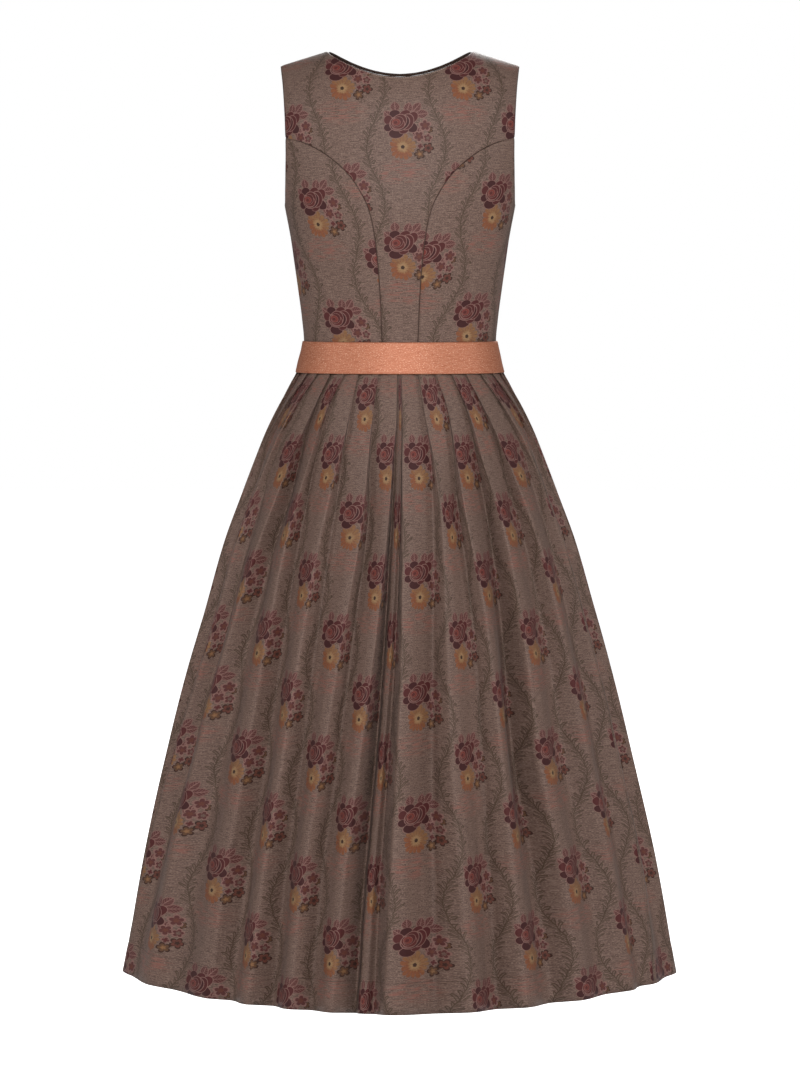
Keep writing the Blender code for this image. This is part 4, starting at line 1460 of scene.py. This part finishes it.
# ---- bodice ------------------------------------------------------------------------------------
@dataclass
class BodicePanel:
    """One panel of the bodice, laid fine on the form."""

    name: str
    side: Side
    hand: Hand | None
    middle: bool
    grid: tuple[int, int]
    daisy: tuple[float, float]
    creases: tuple[Crease, ...] = ()
    wall: float = 0.0013
    seam_depth: float = 0.0008
    seam_width: float = 0.0022
    rim_reach: float = 0.05
    neck_clear: float = 0.001

    def places(self, form: BodiceForm) -> np.ndarray:
        """Fine grid of places (x, z), columns running to +X.

        Args:
            form: The bodice's form.

        Returns:
            Grid of places by two.
        """
        if self.middle:
            coarse = form.front_places() if self.side is Side.FRONT else form.back_places()
            half = refine(coarse, *self.grid)
        else:
            half = form.from_turn(refine(form.side_turns(self.side), *self.grid))
        if self.hand is Hand.RIGHT:
            return half
        turned = half[:, ::-1].copy()
        turned[..., 0] *= -1
        if self.hand is Hand.LEFT:
            return turned
        return np.concatenate([turned[:, :-1], half], axis=1)

    def build(self, form: BodiceForm, finish: bpy.types.Material) -> bpy.types.Object:
        """Builds and dresses the panel.

        Args:
            form: The bodice's form.
            finish: Material of the cloth.

        Returns:
            The panel's object.
        """
        places = self.places(form)
        points = form.point(places[..., 0], places[..., 1], self.side)
        normals = grid_normals(points) * (-1.0 if self.side is Side.FRONT else 1.0)
        edges = self.edge_distances(points)
        dent = np.zeros(points.shape[:2])
        for crease in self.creases:
            dent += crease.dent(places)
        for title in ("left", "right", "top", "bottom"):
            dent += self.seam_depth * np.exp(-((edges[title] / self.seam_width) ** 2))
        shaped = points - normals * dent[..., None]
        cloth = self.cloth_map(places, form)
        rims = self.rim_map(edges, places, form)
        obj = lay_grid(self.name + "_cloth", shaped, {"cloth": cloth, "edges": rims})
        if self.side is Side.FRONT:
            obj.data.flip_normals()
        thicken(obj, self.wall)
        obj.data.materials.append(finish)
        self.declare(obj)
        return obj

    def edge_distances(self, points: np.ndarray) -> dict[str, np.ndarray]:
        """Distances along the cloth to the four edges of the panel."""
        u, v = grid_steps(points)
        return {"left": u, "right": u[:, -1:] - u, "bottom": v, "top": v[-1:, :] - v}

    def cloth_map(self, places: np.ndarray, form: BodiceForm) -> np.ndarray:
        """Place on the flat cloth of each point, with the origin at the panel's daisy.

        Args:
            places: Grid of places.
            form: The bodice's form.

        Returns:
            Grid of UV values in metres.
        """
        every = np.concatenate([places.reshape(-1, 2), np.array([self.daisy])])
        x, z = every[:, 0], every[:, 1]
        across = form.arc(x, z, self.side)
        if not self.middle:
            a = read_sections(form.sections, np.minimum(z, form.yoke_z))[0]
            across = across - form.arc(a, z, self.side)
        hand = np.sign(x) if self.middle else np.sign(self.daisy[0])
        flat = np.stack([hand * across, form.climb(z, self.side)], axis=-1)
        if self.side is Side.FRONT:
            flat[:, 0] *= -1
        return (flat[:-1] - flat[-1]).reshape(places.shape)

    def rim_map(
        self, edges: dict[str, np.ndarray], places: np.ndarray, form: BodiceForm
    ) -> np.ndarray:
        """Distances to the neck edge and to the nearest seam or armhole.

        Args:
            edges: Distances to the four edges.
            places: Grid of places.
            form: The bodice's form.

        Returns:
            Grid of UV values in metres, held at the reach.
        """
        far = self.rim_reach
        neck = np.full(places.shape[:2], far)
        seam = np.minimum(edges["left"], edges["right"])
        if not self.middle:
            seam = np.minimum(seam, edges["top"])
        elif self.side is Side.BACK:
            near_neck = np.abs(places[-1, :, 0]) <= form.neck_half
            neck = np.where(near_neck[None, :], edges["top"], far)
        else:
            title, column = ("left", 0) if self.hand is Hand.RIGHT else ("right", -1)
            free = np.abs(places[:, column, 0]) > self.neck_clear
            neck = np.where(free[:, None], edges[title], far)
        return np.stack([np.minimum(neck, far), np.minimum(seam, far)], axis=-1)

    def declare(self, obj: bpy.types.Object) -> None:
        """Tells the frame what the panel rides on and hides the solid that it replaces.

        Args:
            obj: The panel's object.
        """
        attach(obj, "root")
        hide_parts(self.name)


@dataclass
class Piping:
    """Cord standing on the neck edge, closed over both shoulders."""

    plump: float = 0.0004
    rounding: int = 1

    def build(self, solid: bpy.types.Object, finish: bpy.types.Material) -> bpy.types.Object:
        """Rounds the cord of the neck edge and fills it out a little along its normals, towards
        the cloth.

        Args:
            solid: The cord's solid, whose merged copy is rounded.
            finish: Material of the cord.

        Returns:
            The cord's object.
        """
        body = bmesh.new()
        body.from_mesh(solid.data)
        bmesh.ops.transform(body, matrix=solid.matrix_world, verts=body.verts)
        bmesh.ops.remove_doubles(body, verts=body.verts, dist=MERGE)
        body.normal_update()
        for vert in body.verts:
            vert.co += vert.normal * self.plump
        for face in body.faces:
            face.smooth = True
        obj = add_mesh("neck_cord", body)
        smooth = obj.modifiers.new("round", "SUBSURF")
        smooth.levels = self.rounding
        smooth.render_levels = self.rounding
        obj.data.materials.append(finish)
        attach(obj, "root")
        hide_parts("neck_piping")
        return obj


# ---- belt --------------------------------------------------------------------------------------
@dataclass
class Belt:
    """Closed satin belt over the waist seam."""

    sections: Table = (
        (-0.3637, 0.1243, 0.0849, 0.0941, 2.20),
        (-0.3740, 0.1261, 0.0866, 0.0958, 2.18),
        (-0.3862, 0.1290, 0.0894, 0.0985, 2.16),
        (-0.3950, 0.1312, 0.0913, 0.0999, 2.15),
        (-0.4031, 0.1334, 0.0934, 0.1018, 2.15),
    )
    rows: int = 28
    cols: int = 360
    wall: float = 0.0011
    plump: float = 0.0006
    plump_round: float = 0.5
    sunk: float = 0.0004
    ripple_reach: Pair = (0.45, 0.22)
    ripples: Table = (
        (-2.05, 0.30, 0.0006),
        (-1.20, 0.70, -0.0005),
        (-0.60, 0.35, 0.0007),
        (0.55, 0.60, 0.0006),
        (1.35, 0.30, -0.0004),
        (2.10, 0.65, 0.0006),
        (2.90, 0.40, 0.0005),
    )

    def points(self) -> np.ndarray:
        """Grid of points, rows upwards and columns once round from the centre front.

        Returns:
            Rows by columns by three coordinates.
        """
        z = np.linspace(self.sections[-1][0], self.sections[0][0], self.rows)
        a, back, fore, n = (q[:, None] for q in read_sections(self.sections, z))
        t = np.linspace(math.pi / 2, 2.5 * math.pi, self.cols)[None, :]
        depth = np.where(np.sin(t) > 0, fore, back)
        x = a * np.sign(np.cos(t)) * np.abs(np.cos(t)) ** (2 / n)
        y = depth * np.sign(np.sin(t)) * np.abs(np.sin(t)) ** (2 / n)
        up = np.linspace(0, 1, self.rows)[:, None]
        swell = np.zeros_like(x)
        wide, high = self.ripple_reach
        for turn, height, lift in self.ripples:
            way = np.angle(np.exp(1j * (t - math.pi * 1.5 - turn)))
            swell += lift * np.exp(-((way / wide) ** 2) - ((up - height) / high) ** 2)
        pad = self.plump * np.sin(math.pi * up) ** self.plump_round + swell - self.sunk
        reach = np.hypot(x, y)
        x = x * (1 + pad / reach)
        y = y * (1 + pad / reach)
        return np.stack([x, y, np.broadcast_to(z[:, None], x.shape)], axis=-1)

    def build(self, finish: bpy.types.Material) -> bpy.types.Object:
        """Builds and dresses the belt.

        Args:
            finish: Material of the belt.

        Returns:
            The belt's object.
        """
        points = self.points()
        u, v = grid_steps(points)
        cloth = np.stack([u, v], axis=-1)
        rim = np.minimum(v, v[-1:, :] - v)
        edges = np.stack([rim, rim], axis=-1)
        obj = lay_grid("satin_belt", points, {"cloth": cloth, "edges": edges})
        body = bmesh.new()
        body.from_mesh(obj.data)
        bmesh.ops.remove_doubles(body, verts=body.verts, dist=MERGE)
        body.to_mesh(obj.data)
        body.free()
        thicken(obj, self.wall)
        obj.data.materials.append(finish)
        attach(obj, "root")
        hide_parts("belt")
        return obj


# ---- skirt -------------------------------------------------------------------------------------
@dataclass(frozen=True)
class SkirtForm:
    """Outline of the skirt and the run of its knife pleats from waist to hem."""

    cloth_round: float = 2.10
    side_seam: float = 0.440
    inner_fold: float = 0.0255
    open_lead: float = 0.30
    sections: Table = (
        (-0.3865, 0.1268, 0.0868, 0.0955, 2.16),
        (-0.4031, 0.1312, 0.0912, 0.0995, 2.15),
        (-0.4180, 0.1395, 0.0985, 0.1060, 2.13),
        (-0.4400, 0.1520, 0.1060, 0.1140, 2.11),
        (-0.4740, 0.1690, 0.1150, 0.1235, 2.08),
        (-0.5153, 0.1858, 0.1250, 0.1340, 2.04),
        (-0.5600, 0.2032, 0.1365, 0.1450, 1.99),
        (-0.6179, 0.2253, 0.1520, 0.1600, 1.94),
        (-0.6950, 0.2485, 0.1715, 0.1790, 1.87),
        (-0.7850, 0.2748, 0.1880, 0.1965, 1.81),
        (-0.9000, 0.3030, 0.2060, 0.2160, 1.76),
        (-1.0300, 0.3330, 0.2225, 0.2340, 1.72),
        (-1.1755, 0.3605, 0.2385, 0.2510, 1.68),
    )
    heights: tuple[float, ...] = (
        -0.403, -0.450, -0.510, -0.580, -0.720, -0.870, -1.020, -1.1755,
    )
    right: Table = (
        (0.052, 0.010, 0.015, 0.013, 0.012, 0.008, -0.006, -0.024, -0.036),
        (0.127, 0.124, 0.142, 0.172, 0.185, 0.172, 0.168, 0.180, 0.188),
        (0.212, 0.248, 0.285, 0.291, 0.300, 0.330, 0.335, 0.340, 0.350),
        (0.287, 0.365, 0.408, 0.432, 0.465, 0.475, 0.470, 0.505, 0.520),
        (0.364, 0.474, 0.525, 0.580, 0.625, 0.655, 0.665, 0.685, 0.700),
        (0.440, 0.600, 0.690, 0.770, 0.790, 0.800, 0.815, 0.825, 0.800),
        (0.514, 0.728, 0.825, 0.890, 0.910, 0.925, 0.940, 0.950, 0.940),
        (0.582, 0.860, 0.950, 1.010, 1.030, 1.045, 1.055, 1.060, 1.060),
        (0.650, 1.000, 1.080, 1.130, 1.150, 1.165, 1.175, 1.180, 1.180),
        (0.718, 1.145, 1.210, 1.255, 1.275, 1.290, 1.300, 1.305, 1.310),
        (0.786, 1.290, 1.345, 1.385, 1.405, 1.420, 1.430, 1.435, 1.440),
        (0.854, 1.440, 1.485, 1.520, 1.535, 1.550, 1.560, 1.565, 1.570),
        (0.922, 1.600, 1.635, 1.660, 1.675, 1.690, 1.700, 1.705, 1.710),
        (0.990, 1.780, 1.805, 1.825, 1.835, 1.850, 1.860, 1.865, 1.870),
    )
    left: Table = (
        (0.061, 0.021, 0.020, 0.037, 0.052, 0.088, 0.130, 0.165, 0.185),
        (0.133, 0.149, 0.157, 0.162, 0.168, 0.212, 0.252, 0.288, 0.305),
        (0.204, 0.292, 0.294, 0.315, 0.342, 0.366, 0.388, 0.415, 0.430),
        (0.285, 0.398, 0.447, 0.475, 0.500, 0.512, 0.526, 0.548, 0.560),
        (0.362, 0.508, 0.540, 0.590, 0.632, 0.690, 0.735, 0.770, 0.790),
        (0.440, 0.623, 0.700, 0.760, 0.790, 0.805, 0.875, 0.940, 0.960),
        (0.512, 0.727, 0.810, 0.880, 0.910, 0.935, 0.980, 1.020, 1.035),
        (0.582, 0.860, 0.940, 1.000, 1.025, 1.050, 1.080, 1.105, 1.110),
        (0.650, 1.000, 1.075, 1.125, 1.150, 1.170, 1.190, 1.205, 1.210),
        (0.718, 1.145, 1.210, 1.255, 1.275, 1.295, 1.310, 1.320, 1.325),
        (0.786, 1.290, 1.345, 1.385, 1.405, 1.420, 1.435, 1.440, 1.445),
        (0.854, 1.440, 1.485, 1.520, 1.540, 1.550, 1.560, 1.565, 1.570),
        (0.922, 1.600, 1.635, 1.660, 1.675, 1.690, 1.700, 1.705, 1.710),
        (0.990, 1.780, 1.805, 1.825, 1.835, 1.850, 1.860, 1.865, 1.870),
    )
    depth_heights: tuple[float, ...] = (-0.403, -0.580, -0.870, -1.1755)
    right_depths: Table = (
        (0.0034, 0.0080, 0.0150, 0.0190),
        (0.0036, 0.0085, 0.0150, 0.0210),
        (0.0036, 0.0080, 0.0110, 0.0190),
        (0.0038, 0.0120, 0.0200, 0.0170),
        (0.0036, 0.0090, 0.0110, 0.0120),
        (0.0034, 0.0070, 0.0090, 0.0120),
        (0.0034, 0.0060, 0.0080, 0.0120),
        (0.0034, 0.0070, 0.0110, 0.0160),
        (0.0034, 0.0080, 0.0130, 0.0180),
        (0.0034, 0.0080, 0.0120, 0.0170),
        (0.0036, 0.0090, 0.0150, 0.0200),
        (0.0034, 0.0080, 0.0130, 0.0180),
        (0.0036, 0.0090, 0.0150, 0.0210),
        (0.0034, 0.0080, 0.0130, 0.0180),
    )
    left_depths: Table = (
        (0.0036, 0.0100, 0.0200, 0.0240),
        (0.0036, 0.0085, 0.0110, 0.0150),
        (0.0036, 0.0080, 0.0120, 0.0180),
        (0.0034, 0.0090, 0.0130, 0.0150),
        (0.0038, 0.0120, 0.0110, 0.0130),
        (0.0034, 0.0060, 0.0090, 0.0110),
        (0.0034, 0.0060, 0.0090, 0.0130),
        (0.0034, 0.0080, 0.0120, 0.0170),
        (0.0034, 0.0070, 0.0110, 0.0160),
        (0.0036, 0.0090, 0.0150, 0.0210),
        (0.0034, 0.0080, 0.0120, 0.0170),
        (0.0036, 0.0080, 0.0140, 0.0190),
        (0.0034, 0.0090, 0.0150, 0.0200),
        (0.0034, 0.0080, 0.0130, 0.0180),
    )
    lead: tuple[float, ...] = (0.05, 0.07, 0.10, 0.16, 0.24, 0.30, 0.34, 0.36)
    underlap: tuple[float, ...] = (0.0040, 0.0035, 0.0020, 0.0, 0.0, 0.0, 0.0, 0.0)
    face_steps: tuple[float, ...] = (0.25, 0.50, 0.75)
    gap_cloth: tuple[float, float] = (-0.0355, 0.0265)
    gap_inset: tuple[float, float] = (0.05, 0.30)
    gap_lift: float = 0.35
    fold_depths: Table = (
        (-0.4031, 1.00),
        (-0.4700, 1.50),
        (-0.5800, 2.15),
        (-0.8700, 2.20),
        (-1.1755, 1.80),
    )
    hem_level: float = 0.24
    hem_reach: float = 0.30
    side_calm: float = 0.78
    side_spread: float = 0.36
    girth_steps: int = 400
    fall_steps: int = 400
    outward_step: float = 0.02
    knot_height: float = -0.8
    knot_quarter: float = 0.35
    end_clear: float = 0.004

    def deepen(self, z: float) -> float:
        """How much deeper than the solid's the folds of the thin cloth are at a height."""
        return float(read_sections(self.fold_depths, np.array(z))[0])

    def across(self, row: tuple[float, ...], z: float) -> float:
        """Value at a height of a row with a column for each pleat height."""
        return float(smooth_table(self.heights[::-1], row[::-1], np.array(z)))

    def girth(self, z: float) -> tuple[np.ndarray, np.ndarray, float]:
        """Outline from the centre back round to the centre front.

        Args:
            z: Height.

        Returns:
            Points, their share of a quarter girth, and the back quarter's length.
        """
        a, back, fore, n = (float(q) for q in read_sections(self.sections, np.array(z)))
        t = np.linspace(0, math.pi / 2, self.girth_steps)
        x = a * np.sin(t) ** (2 / n)
        behind = np.stack([x, -back * np.cos(t) ** (2 / n)], 1)
        ahead = np.stack([x, fore * np.cos(t) ** (2 / n)], 1)[::-1]
        line = np.concatenate([behind, ahead[1:]])
        run = run_length(line)
        quarter = run[len(behind) - 1]
        front = 1 + (run - quarter) / (run[-1] - quarter)
        return line, np.where(run <= quarter, run / quarter, front), float(quarter)

    def half(self, z: float, right: bool, gap_share: float, quarter: float) -> list[tuple]:
        """Cloth, share of girth and depth of the knots from the gap to the centre front.

        Args:
            z: Height.
            right: Whether it is the right half.
            gap_share: Share of girth at the gap's edge.
            quarter: Length of the back quarter.

        Returns:
            A row for each knot.
        """
        pleats = self.right if right else self.left
        depths = self.right_depths if right else self.left_depths
        lead = self.across(self.lead, z)
        opened = min(lead / self.open_lead, 1)
        under = self.across(self.underlap, z) / quarter
        edges = [self.across(row[1:], z) for row in pleats]
        deep = [float(smooth_table(self.depth_heights[::-1], row[::-1], np.array(z)))
                for row in depths]
        out = []
        last_s = gap_share
        for k, row in enumerate(pleats):
            fold_c = row[0] - self.inner_fold
            fold_s = edges[k] - lead * (edges[k] - last_s) + (under if k else 0.0)
            if k:
                start = pleats[k - 1][0]
                for step in self.face_steps:
                    bow = step + (0.5 - 0.5 * math.cos(math.pi * step) - step) * opened
                    share = last_s + (fold_s - last_s) * step
                    out.append((start + (fold_c - start) * step, share, bow * deep[k]))
                out.append((fold_c, fold_s, deep[k]))
            else:
                fold_s = last_s
                out.append((fold_c, last_s, deep[k]))
            out.append((row[0] - self.inner_fold / 2, (fold_s + edges[k]) / 2, deep[k] / 2))
            out.append((row[0], edges[k], 0.0))
            last_s = edges[k]
        last_c = pleats[-1][0]
        for step in self.face_steps:
            out.append((last_c + (self.cloth_round / 2 - last_c) * step,
                        last_s + (2 - last_s) * step, 0.0))
        return out

    def knots(self, z: float, quarter: float) -> np.ndarray:
        """Cloth, share of girth and depth all round, from the left centre front to the right.

        Args:
            z: Height.
            quarter: Length of the back quarter.

        Returns:
            Array of knots by three.
        """
        right_edge = self.across(self.right[0][1:], z)
        left_edge = -self.across(self.left[0][1:], z)
        opened = min(self.across(self.lead, z) / self.open_lead, 1)
        inset = self.gap_inset[0] + (self.gap_inset[1] - self.gap_inset[0]) * opened
        gap_r = right_edge - inset * (right_edge - left_edge)
        gap_l = left_edge + inset * (right_edge - left_edge)
        right = self.half(z, True, gap_r, quarter)
        left = self.half(z, False, -gap_l, quarter)
        ring = [(-self.cloth_round / 2, -2.0, 0.0)]
        ring += [(-c, -s, d) for c, s, d in left[::-1]]
        for step in (1 / 3, 2 / 3):
            cloth = self.gap_cloth[0] + (self.gap_cloth[1] - self.gap_cloth[0]) * step
            depth = left[0][2] + (right[0][2] - left[0][2]) * step
            depth *= 1 - self.gap_lift * opened
            ring.append((cloth, gap_l + (gap_r - gap_l) * step, depth))
        ring += right
        ring.append((self.cloth_round / 2, 2.0, 0.0))
        return np.array(ring)

    def row(self, z: float, cloth: np.ndarray) -> np.ndarray:
        """Points at a height of the given places across the cloth.

        Args:
            z: Height.
            cloth: Places across the cloth.

        Returns:
            A point for each place.
        """
        line, share, quarter = self.girth(z)
        knots = self.knots(z, quarter)
        s = smooth_table(knots[:, 0], knots[:, 1], cloth)
        q = np.abs(s)
        low = max(1 - (z - self.sections[-1][0]) / self.hem_reach, 0.0) ** 2
        calm = 1 - self.side_calm * low * np.exp(-(((q - 1) / self.side_spread) ** 2))
        d = smooth_table(knots[:, 0], knots[:, 2], cloth) * self.deepen(z) * calm
        way = (self.outline_at(line, share, q + self.outward_step)
               - self.outline_at(line, share, q - self.outward_step))
        out = np.stack([way[:, 1], -way[:, 0]], axis=-1)
        out /= np.linalg.norm(out, axis=-1, keepdims=True)
        place = self.outline_at(line, share, q) - out * d[:, None]
        drop = self.hem_level * low * (d - d.min()) * np.clip(-out[:, 1], 0, 1)
        return np.stack([np.sign(s) * place[:, 0], place[:, 1], z - drop], axis=-1)

    def outline_at(self, line: np.ndarray, share: np.ndarray, at: np.ndarray) -> np.ndarray:
        """Points of the outline, carried on as its mirror image past either centre line.

        Args:
            line: Points of half the outline, from the centre back to the centre front.
            share: Their share of a quarter girth, from 0 to 2.
            at: Shares to read.

        Returns:
            A point for each share.
        """
        inside = np.where(at > 2, 4 - at, np.abs(at))
        hand = np.where((at < 0) | (at > 2), -1.0, 1.0)
        x = hand * np.interp(inside, share, line[:, 0])
        return np.stack([x, np.interp(inside, share, line[:, 1])], axis=-1)

    def columns(self, first: float, last: float, each: int) -> np.ndarray:
        """Places across the cloth between two ends, closest together at the fold edges.

        Args:
            first: Where the panel's cloth starts.
            last: Where it ends.
            each: Steps between two knots.

        Returns:
            The places.
        """
        knots = self.knots(self.knot_height, self.knot_quarter)[:, 0]
        inside = [c for c in knots if first + self.end_clear < c < last - self.end_clear]
        marks = np.array([first] + inside + [last])
        out = [marks[:1]]
        for a, b in zip(marks, marks[1:]):
            out.append(np.linspace(a, b, each + 1)[1:])
        return np.concatenate(out)


@dataclass
class SkirtPanel:
    """One panel of the skirt between two side seams or a side seam and the centre front."""

    name: str
    first: float
    last: float
    rows: int
    each: int
    daisy_c: float
    daisy_z: float = -0.4585
    wall: float = 0.0012
    row_power: float = 1.25
    seam_depth: float = 0.0010
    seam_width: float = 0.0025
    hem_groove: float = 0.0005
    hem_groove_width: float = 0.0016
    hem_lift: float = 0.0004

    def heights(self, form: SkirtForm) -> np.ndarray:
        """Heights of the rows from the hem up, closer together at the waist.

        Args:
            form: The skirt's form.

        Returns:
            The heights.
        """
        low = form.sections[-1][0]
        high = form.sections[0][0]
        t = np.linspace(0, 1, self.rows)
        return low + (high - low) * (1 - (1 - t) ** self.row_power)

    def build(self, form: SkirtForm, finish: bpy.types.Material) -> bpy.types.Object:
        """Builds and dresses the panel.

        Args:
            form: The skirt's form.
            finish: Material of the cloth.

        Returns:
            The panel's object.
        """
        cloth_c = form.columns(self.first, self.last, self.each)
        z = self.heights(form)
        points = np.array([form.row(h, cloth_c) for h in z])
        fall = self.fall(form, z)
        normals = grid_normals(points)
        dent = np.zeros(points.shape[:2])
        for end in (self.first, self.last):
            dent += self.seam_depth * np.exp(-(((cloth_c - end) / self.seam_width) ** 2))[None, :]
        hem = fall[0] - fall
        line = np.exp(-(((hem - HEM_FOLD) / self.hem_groove_width) ** 2))
        dent += self.hem_groove * line[:, None]
        dent -= self.hem_lift * (hem < HEM_FOLD)[:, None]
        points = points - normals * dent[..., None]
        daisy = float(np.interp(-self.daisy_z, -z[::-1], fall[::-1]))
        shift = cloth_c - self.daisy_c
        cloth = np.stack(np.broadcast_arrays(shift[None, :], (daisy - fall)[:, None]), axis=-1)
        edges = np.stack(np.broadcast_arrays(np.zeros((1, len(cloth_c))), hem[:, None]), axis=-1)
        obj = lay_grid(self.name + "_cloth", points, {"cloth": cloth, "edges": edges})
        thicken(obj, self.wall)
        obj.data.materials.append(finish)
        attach(obj, "root")
        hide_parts(self.name)
        return obj

    def fall(self, form: SkirtForm, z: np.ndarray) -> np.ndarray:
        """Length down the cloth from the waist seam at each height, on the centre back.

        Args:
            form: The skirt's form.
            z: Heights.

        Returns:
            The lengths.
        """
        fine = np.linspace(form.sections[0][0], form.sections[-1][0], form.fall_steps)
        depth = read_sections(form.sections, fine)[1]
        run = run_length(np.stack([fine, depth], axis=-1))
        return np.interp(-z, -fine, run)


# ---- studio ------------------------------------------------------------------------------------
@dataclass(frozen=True)
class Lamp:
    """Soft square light: its place, the height it looks at, its side and its power in watts."""

    name: str
    place: tuple[float, float, float]
    aim_z: float
    size: float
    power: float

    def build(self) -> None:
        """Builds the light, turned to the dress's middle line."""
        data = bpy.data.lights.new(self.name, "AREA")
        data.size = self.size
        data.energy = self.power
        lamp = add_object(self.name, data)
        lamp.location = self.place
        way = Vector((0.0, 0.0, self.aim_z)) - Vector(self.place)
        lamp.rotation_euler = way.to_track_quat("-Z", "Y").to_euler()


@dataclass(frozen=True)
class Studio:
    """Pale floor, soft lights and the camera."""

    camera_place: tuple[float, float, float] = (0.0, -3.584, -0.296)
    pitch_down: float = 5.0
    lens: float = 94.84
    sensor: float = 36.0
    floor_z: float = -1.42
    floor_half: float = 12.0
    floor_grey: Colour = (0.90, 0.90, 0.90, 1.0)
    floor_roughness: float = 0.9
    floor_glow: float = 1.0
    ambient: float = 0.14
    lamps: tuple[Lamp, ...] = (
        Lamp("key", (0.1, -3.3, 0.8), -0.60, 0.8, 67.0),
        Lamp("left", (-2.8, -1.8, 0.8), -0.75, 0.8, 25.0),
        Lamp("right", (2.8, -1.6, 0.8), -0.75, 0.8, 26.0),
        Lamp("rim", (0.4, 3.0, 1.4), -0.60, 1.6, 70.0),
    )

    def build(self) -> None:
        """Builds the floor, the lights and the camera."""
        self.sweep()
        for lamp in self.lamps:
            lamp.build()
        self.surround()
        data = bpy.data.cameras.new("camera")
        data.lens = self.lens
        data.sensor_width = self.sensor
        camera = add_object("camera", data)
        camera.location = self.camera_place
        camera.rotation_euler = (math.radians(90.0 - self.pitch_down), 0.0, 0.0)
        bpy.context.scene.camera = camera
        bpy.context.scene.view_settings.view_transform = "Standard"

    def surround(self) -> None:
        """Builds a dim even light that the camera sees as white."""
        world = bpy.data.worlds.new("soft_white")
        world.use_nodes = True
        desk = Desk(world.node_tree)
        ground = world.node_tree.nodes["Background"]
        ground.inputs["Color"].default_value = WHITE
        seen = desk.node("ShaderNodeLightPath").outputs["Is Camera Ray"]
        dim = desk.math("MULTIPLY", desk.math("SUBTRACT", 1.0, seen), self.ambient)
        desk.feed(ground.inputs["Strength"], desk.math("ADD", seen, dim))
        bpy.context.scene.world = world

    def sweep(self) -> None:
        """Builds the pale floor, which the camera sees nearly white."""
        plane = bmesh.new()
        bmesh.ops.create_grid(plane, x_segments=1, y_segments=1, size=self.floor_half)
        bmesh.ops.translate(plane, verts=plane.verts, vec=(0.0, 0.0, self.floor_z))
        floor = add_mesh("floor", plane)
        pale, desk, shader = add_material("pale_floor")
        shader.inputs["Base Color"].default_value = self.floor_grey
        shader.inputs["Roughness"].default_value = self.floor_roughness
        shader.inputs["Emission Color"].default_value = WHITE
        seen = desk.node("ShaderNodeLightPath").outputs["Is Camera Ray"]
        desk.feed(shader.inputs["Emission Strength"], desk.math("MULTIPLY", seen, self.floor_glow))
        floor.data.materials.append(pale)


# ---- the dress ---------------------------------------------------------------------------------
@dataclass
class Dress:
    """The whole dress in the order it is sewn."""

    bodice: BodiceForm
    skirt: SkirtForm
    centre_grid: tuple[int, int] = (150, 64)
    side_grid: tuple[int, int] = (110, 50)
    skirt_back_grid: tuple[int, int] = (112, 5)
    skirt_front_grid: tuple[int, int] = (100, 4)
    right_creases: tuple[Crease, ...] = (
        Crease((0.095, -0.352), (0.060, -0.335), 0.010, 0.0010),
        Crease((0.100, -0.250), (0.080, -0.290), 0.016, 0.0012),
    )
    left_share: float = 0.8

    def left_creases(self) -> tuple[Crease, ...]:
        """The right side's creases on the left, and shallower."""
        return tuple(
            Crease((-c.start[0], c.start[1]), (-c.end[0], c.end[1]), c.width,
                   c.depth * self.left_share)
            for c in self.right_creases
        )

    def panels(self) -> list[BodicePanel]:
        """Every bodice panel with its own print and creases.

        Returns:
            The panels in the order they are built.
        """
        back, front = Side.BACK, Side.FRONT
        right, left = Hand.RIGHT, Hand.LEFT
        wide, slim = self.centre_grid, self.side_grid
        return [
            BodicePanel("back_centre", back, None, True, wide, (0.0034, -0.1235)),
            BodicePanel("back_side_right", back, right, False, slim, (0.1145, -0.2095),
                        self.right_creases),
            BodicePanel("back_side_left", back, left, False, slim, (-0.1015, -0.2181),
                        self.left_creases()),
            BodicePanel("front_right", front, right, True, wide, (0.040, -0.215)),
            BodicePanel("front_left", front, left, True, wide, (-0.030, -0.215)),
            BodicePanel("front_side_right", front, right, False, slim, (0.110, -0.260)),
            BodicePanel("front_side_left", front, left, False, slim, (-0.108, -0.250)),
        ]

    def skirt_panels(self) -> list[SkirtPanel]:
        """The three skirt panels.

        Returns:
            The panels in the order they are built.
        """
        seam = self.skirt.side_seam
        end = self.skirt.cloth_round / 2
        return [
            SkirtPanel("skirt_back", -seam, seam, *self.skirt_back_grid, 0.0035),
            SkirtPanel("skirt_front_right", seam, end, *self.skirt_front_grid, 0.470),
            SkirtPanel("skirt_front_left", -end, -seam, *self.skirt_front_grid, -0.470),
        ]

    def build(self) -> None:
        """Builds and dresses every piece and reports it."""
        pattern = WovenPattern(Repeat(), PosyColours())
        bodice_cloth = JacquardFinish("bodice_jacquard").material(pattern)
        skirt_cloth = JacquardFinish("skirt_jacquard", hem_stitch=HEM_FOLD).material(pattern)
        made = [panel.build(self.bodice, bodice_cloth) for panel in self.panels()]
        cord = bpy.data.objects["neck_piping"]
        made.append(Piping().build(cord, CordFinish().material(pattern)))
        made.append(Belt().build(SatinFinish().material(pattern)))
        made += [panel.build(self.skirt, skirt_cloth) for panel in self.skirt_panels()]
        for piece in made:
            LOG.info("built %s", piece.name)


def main() -> None:
    """Builds the dress and the studio."""
    logging.basicConfig(level=logging.INFO, format="%(name)s: %(message)s")
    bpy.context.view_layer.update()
    Dress(BodiceForm(), SkirtForm()).build()
    Studio().build()


if __name__ == "__main__":
    main()
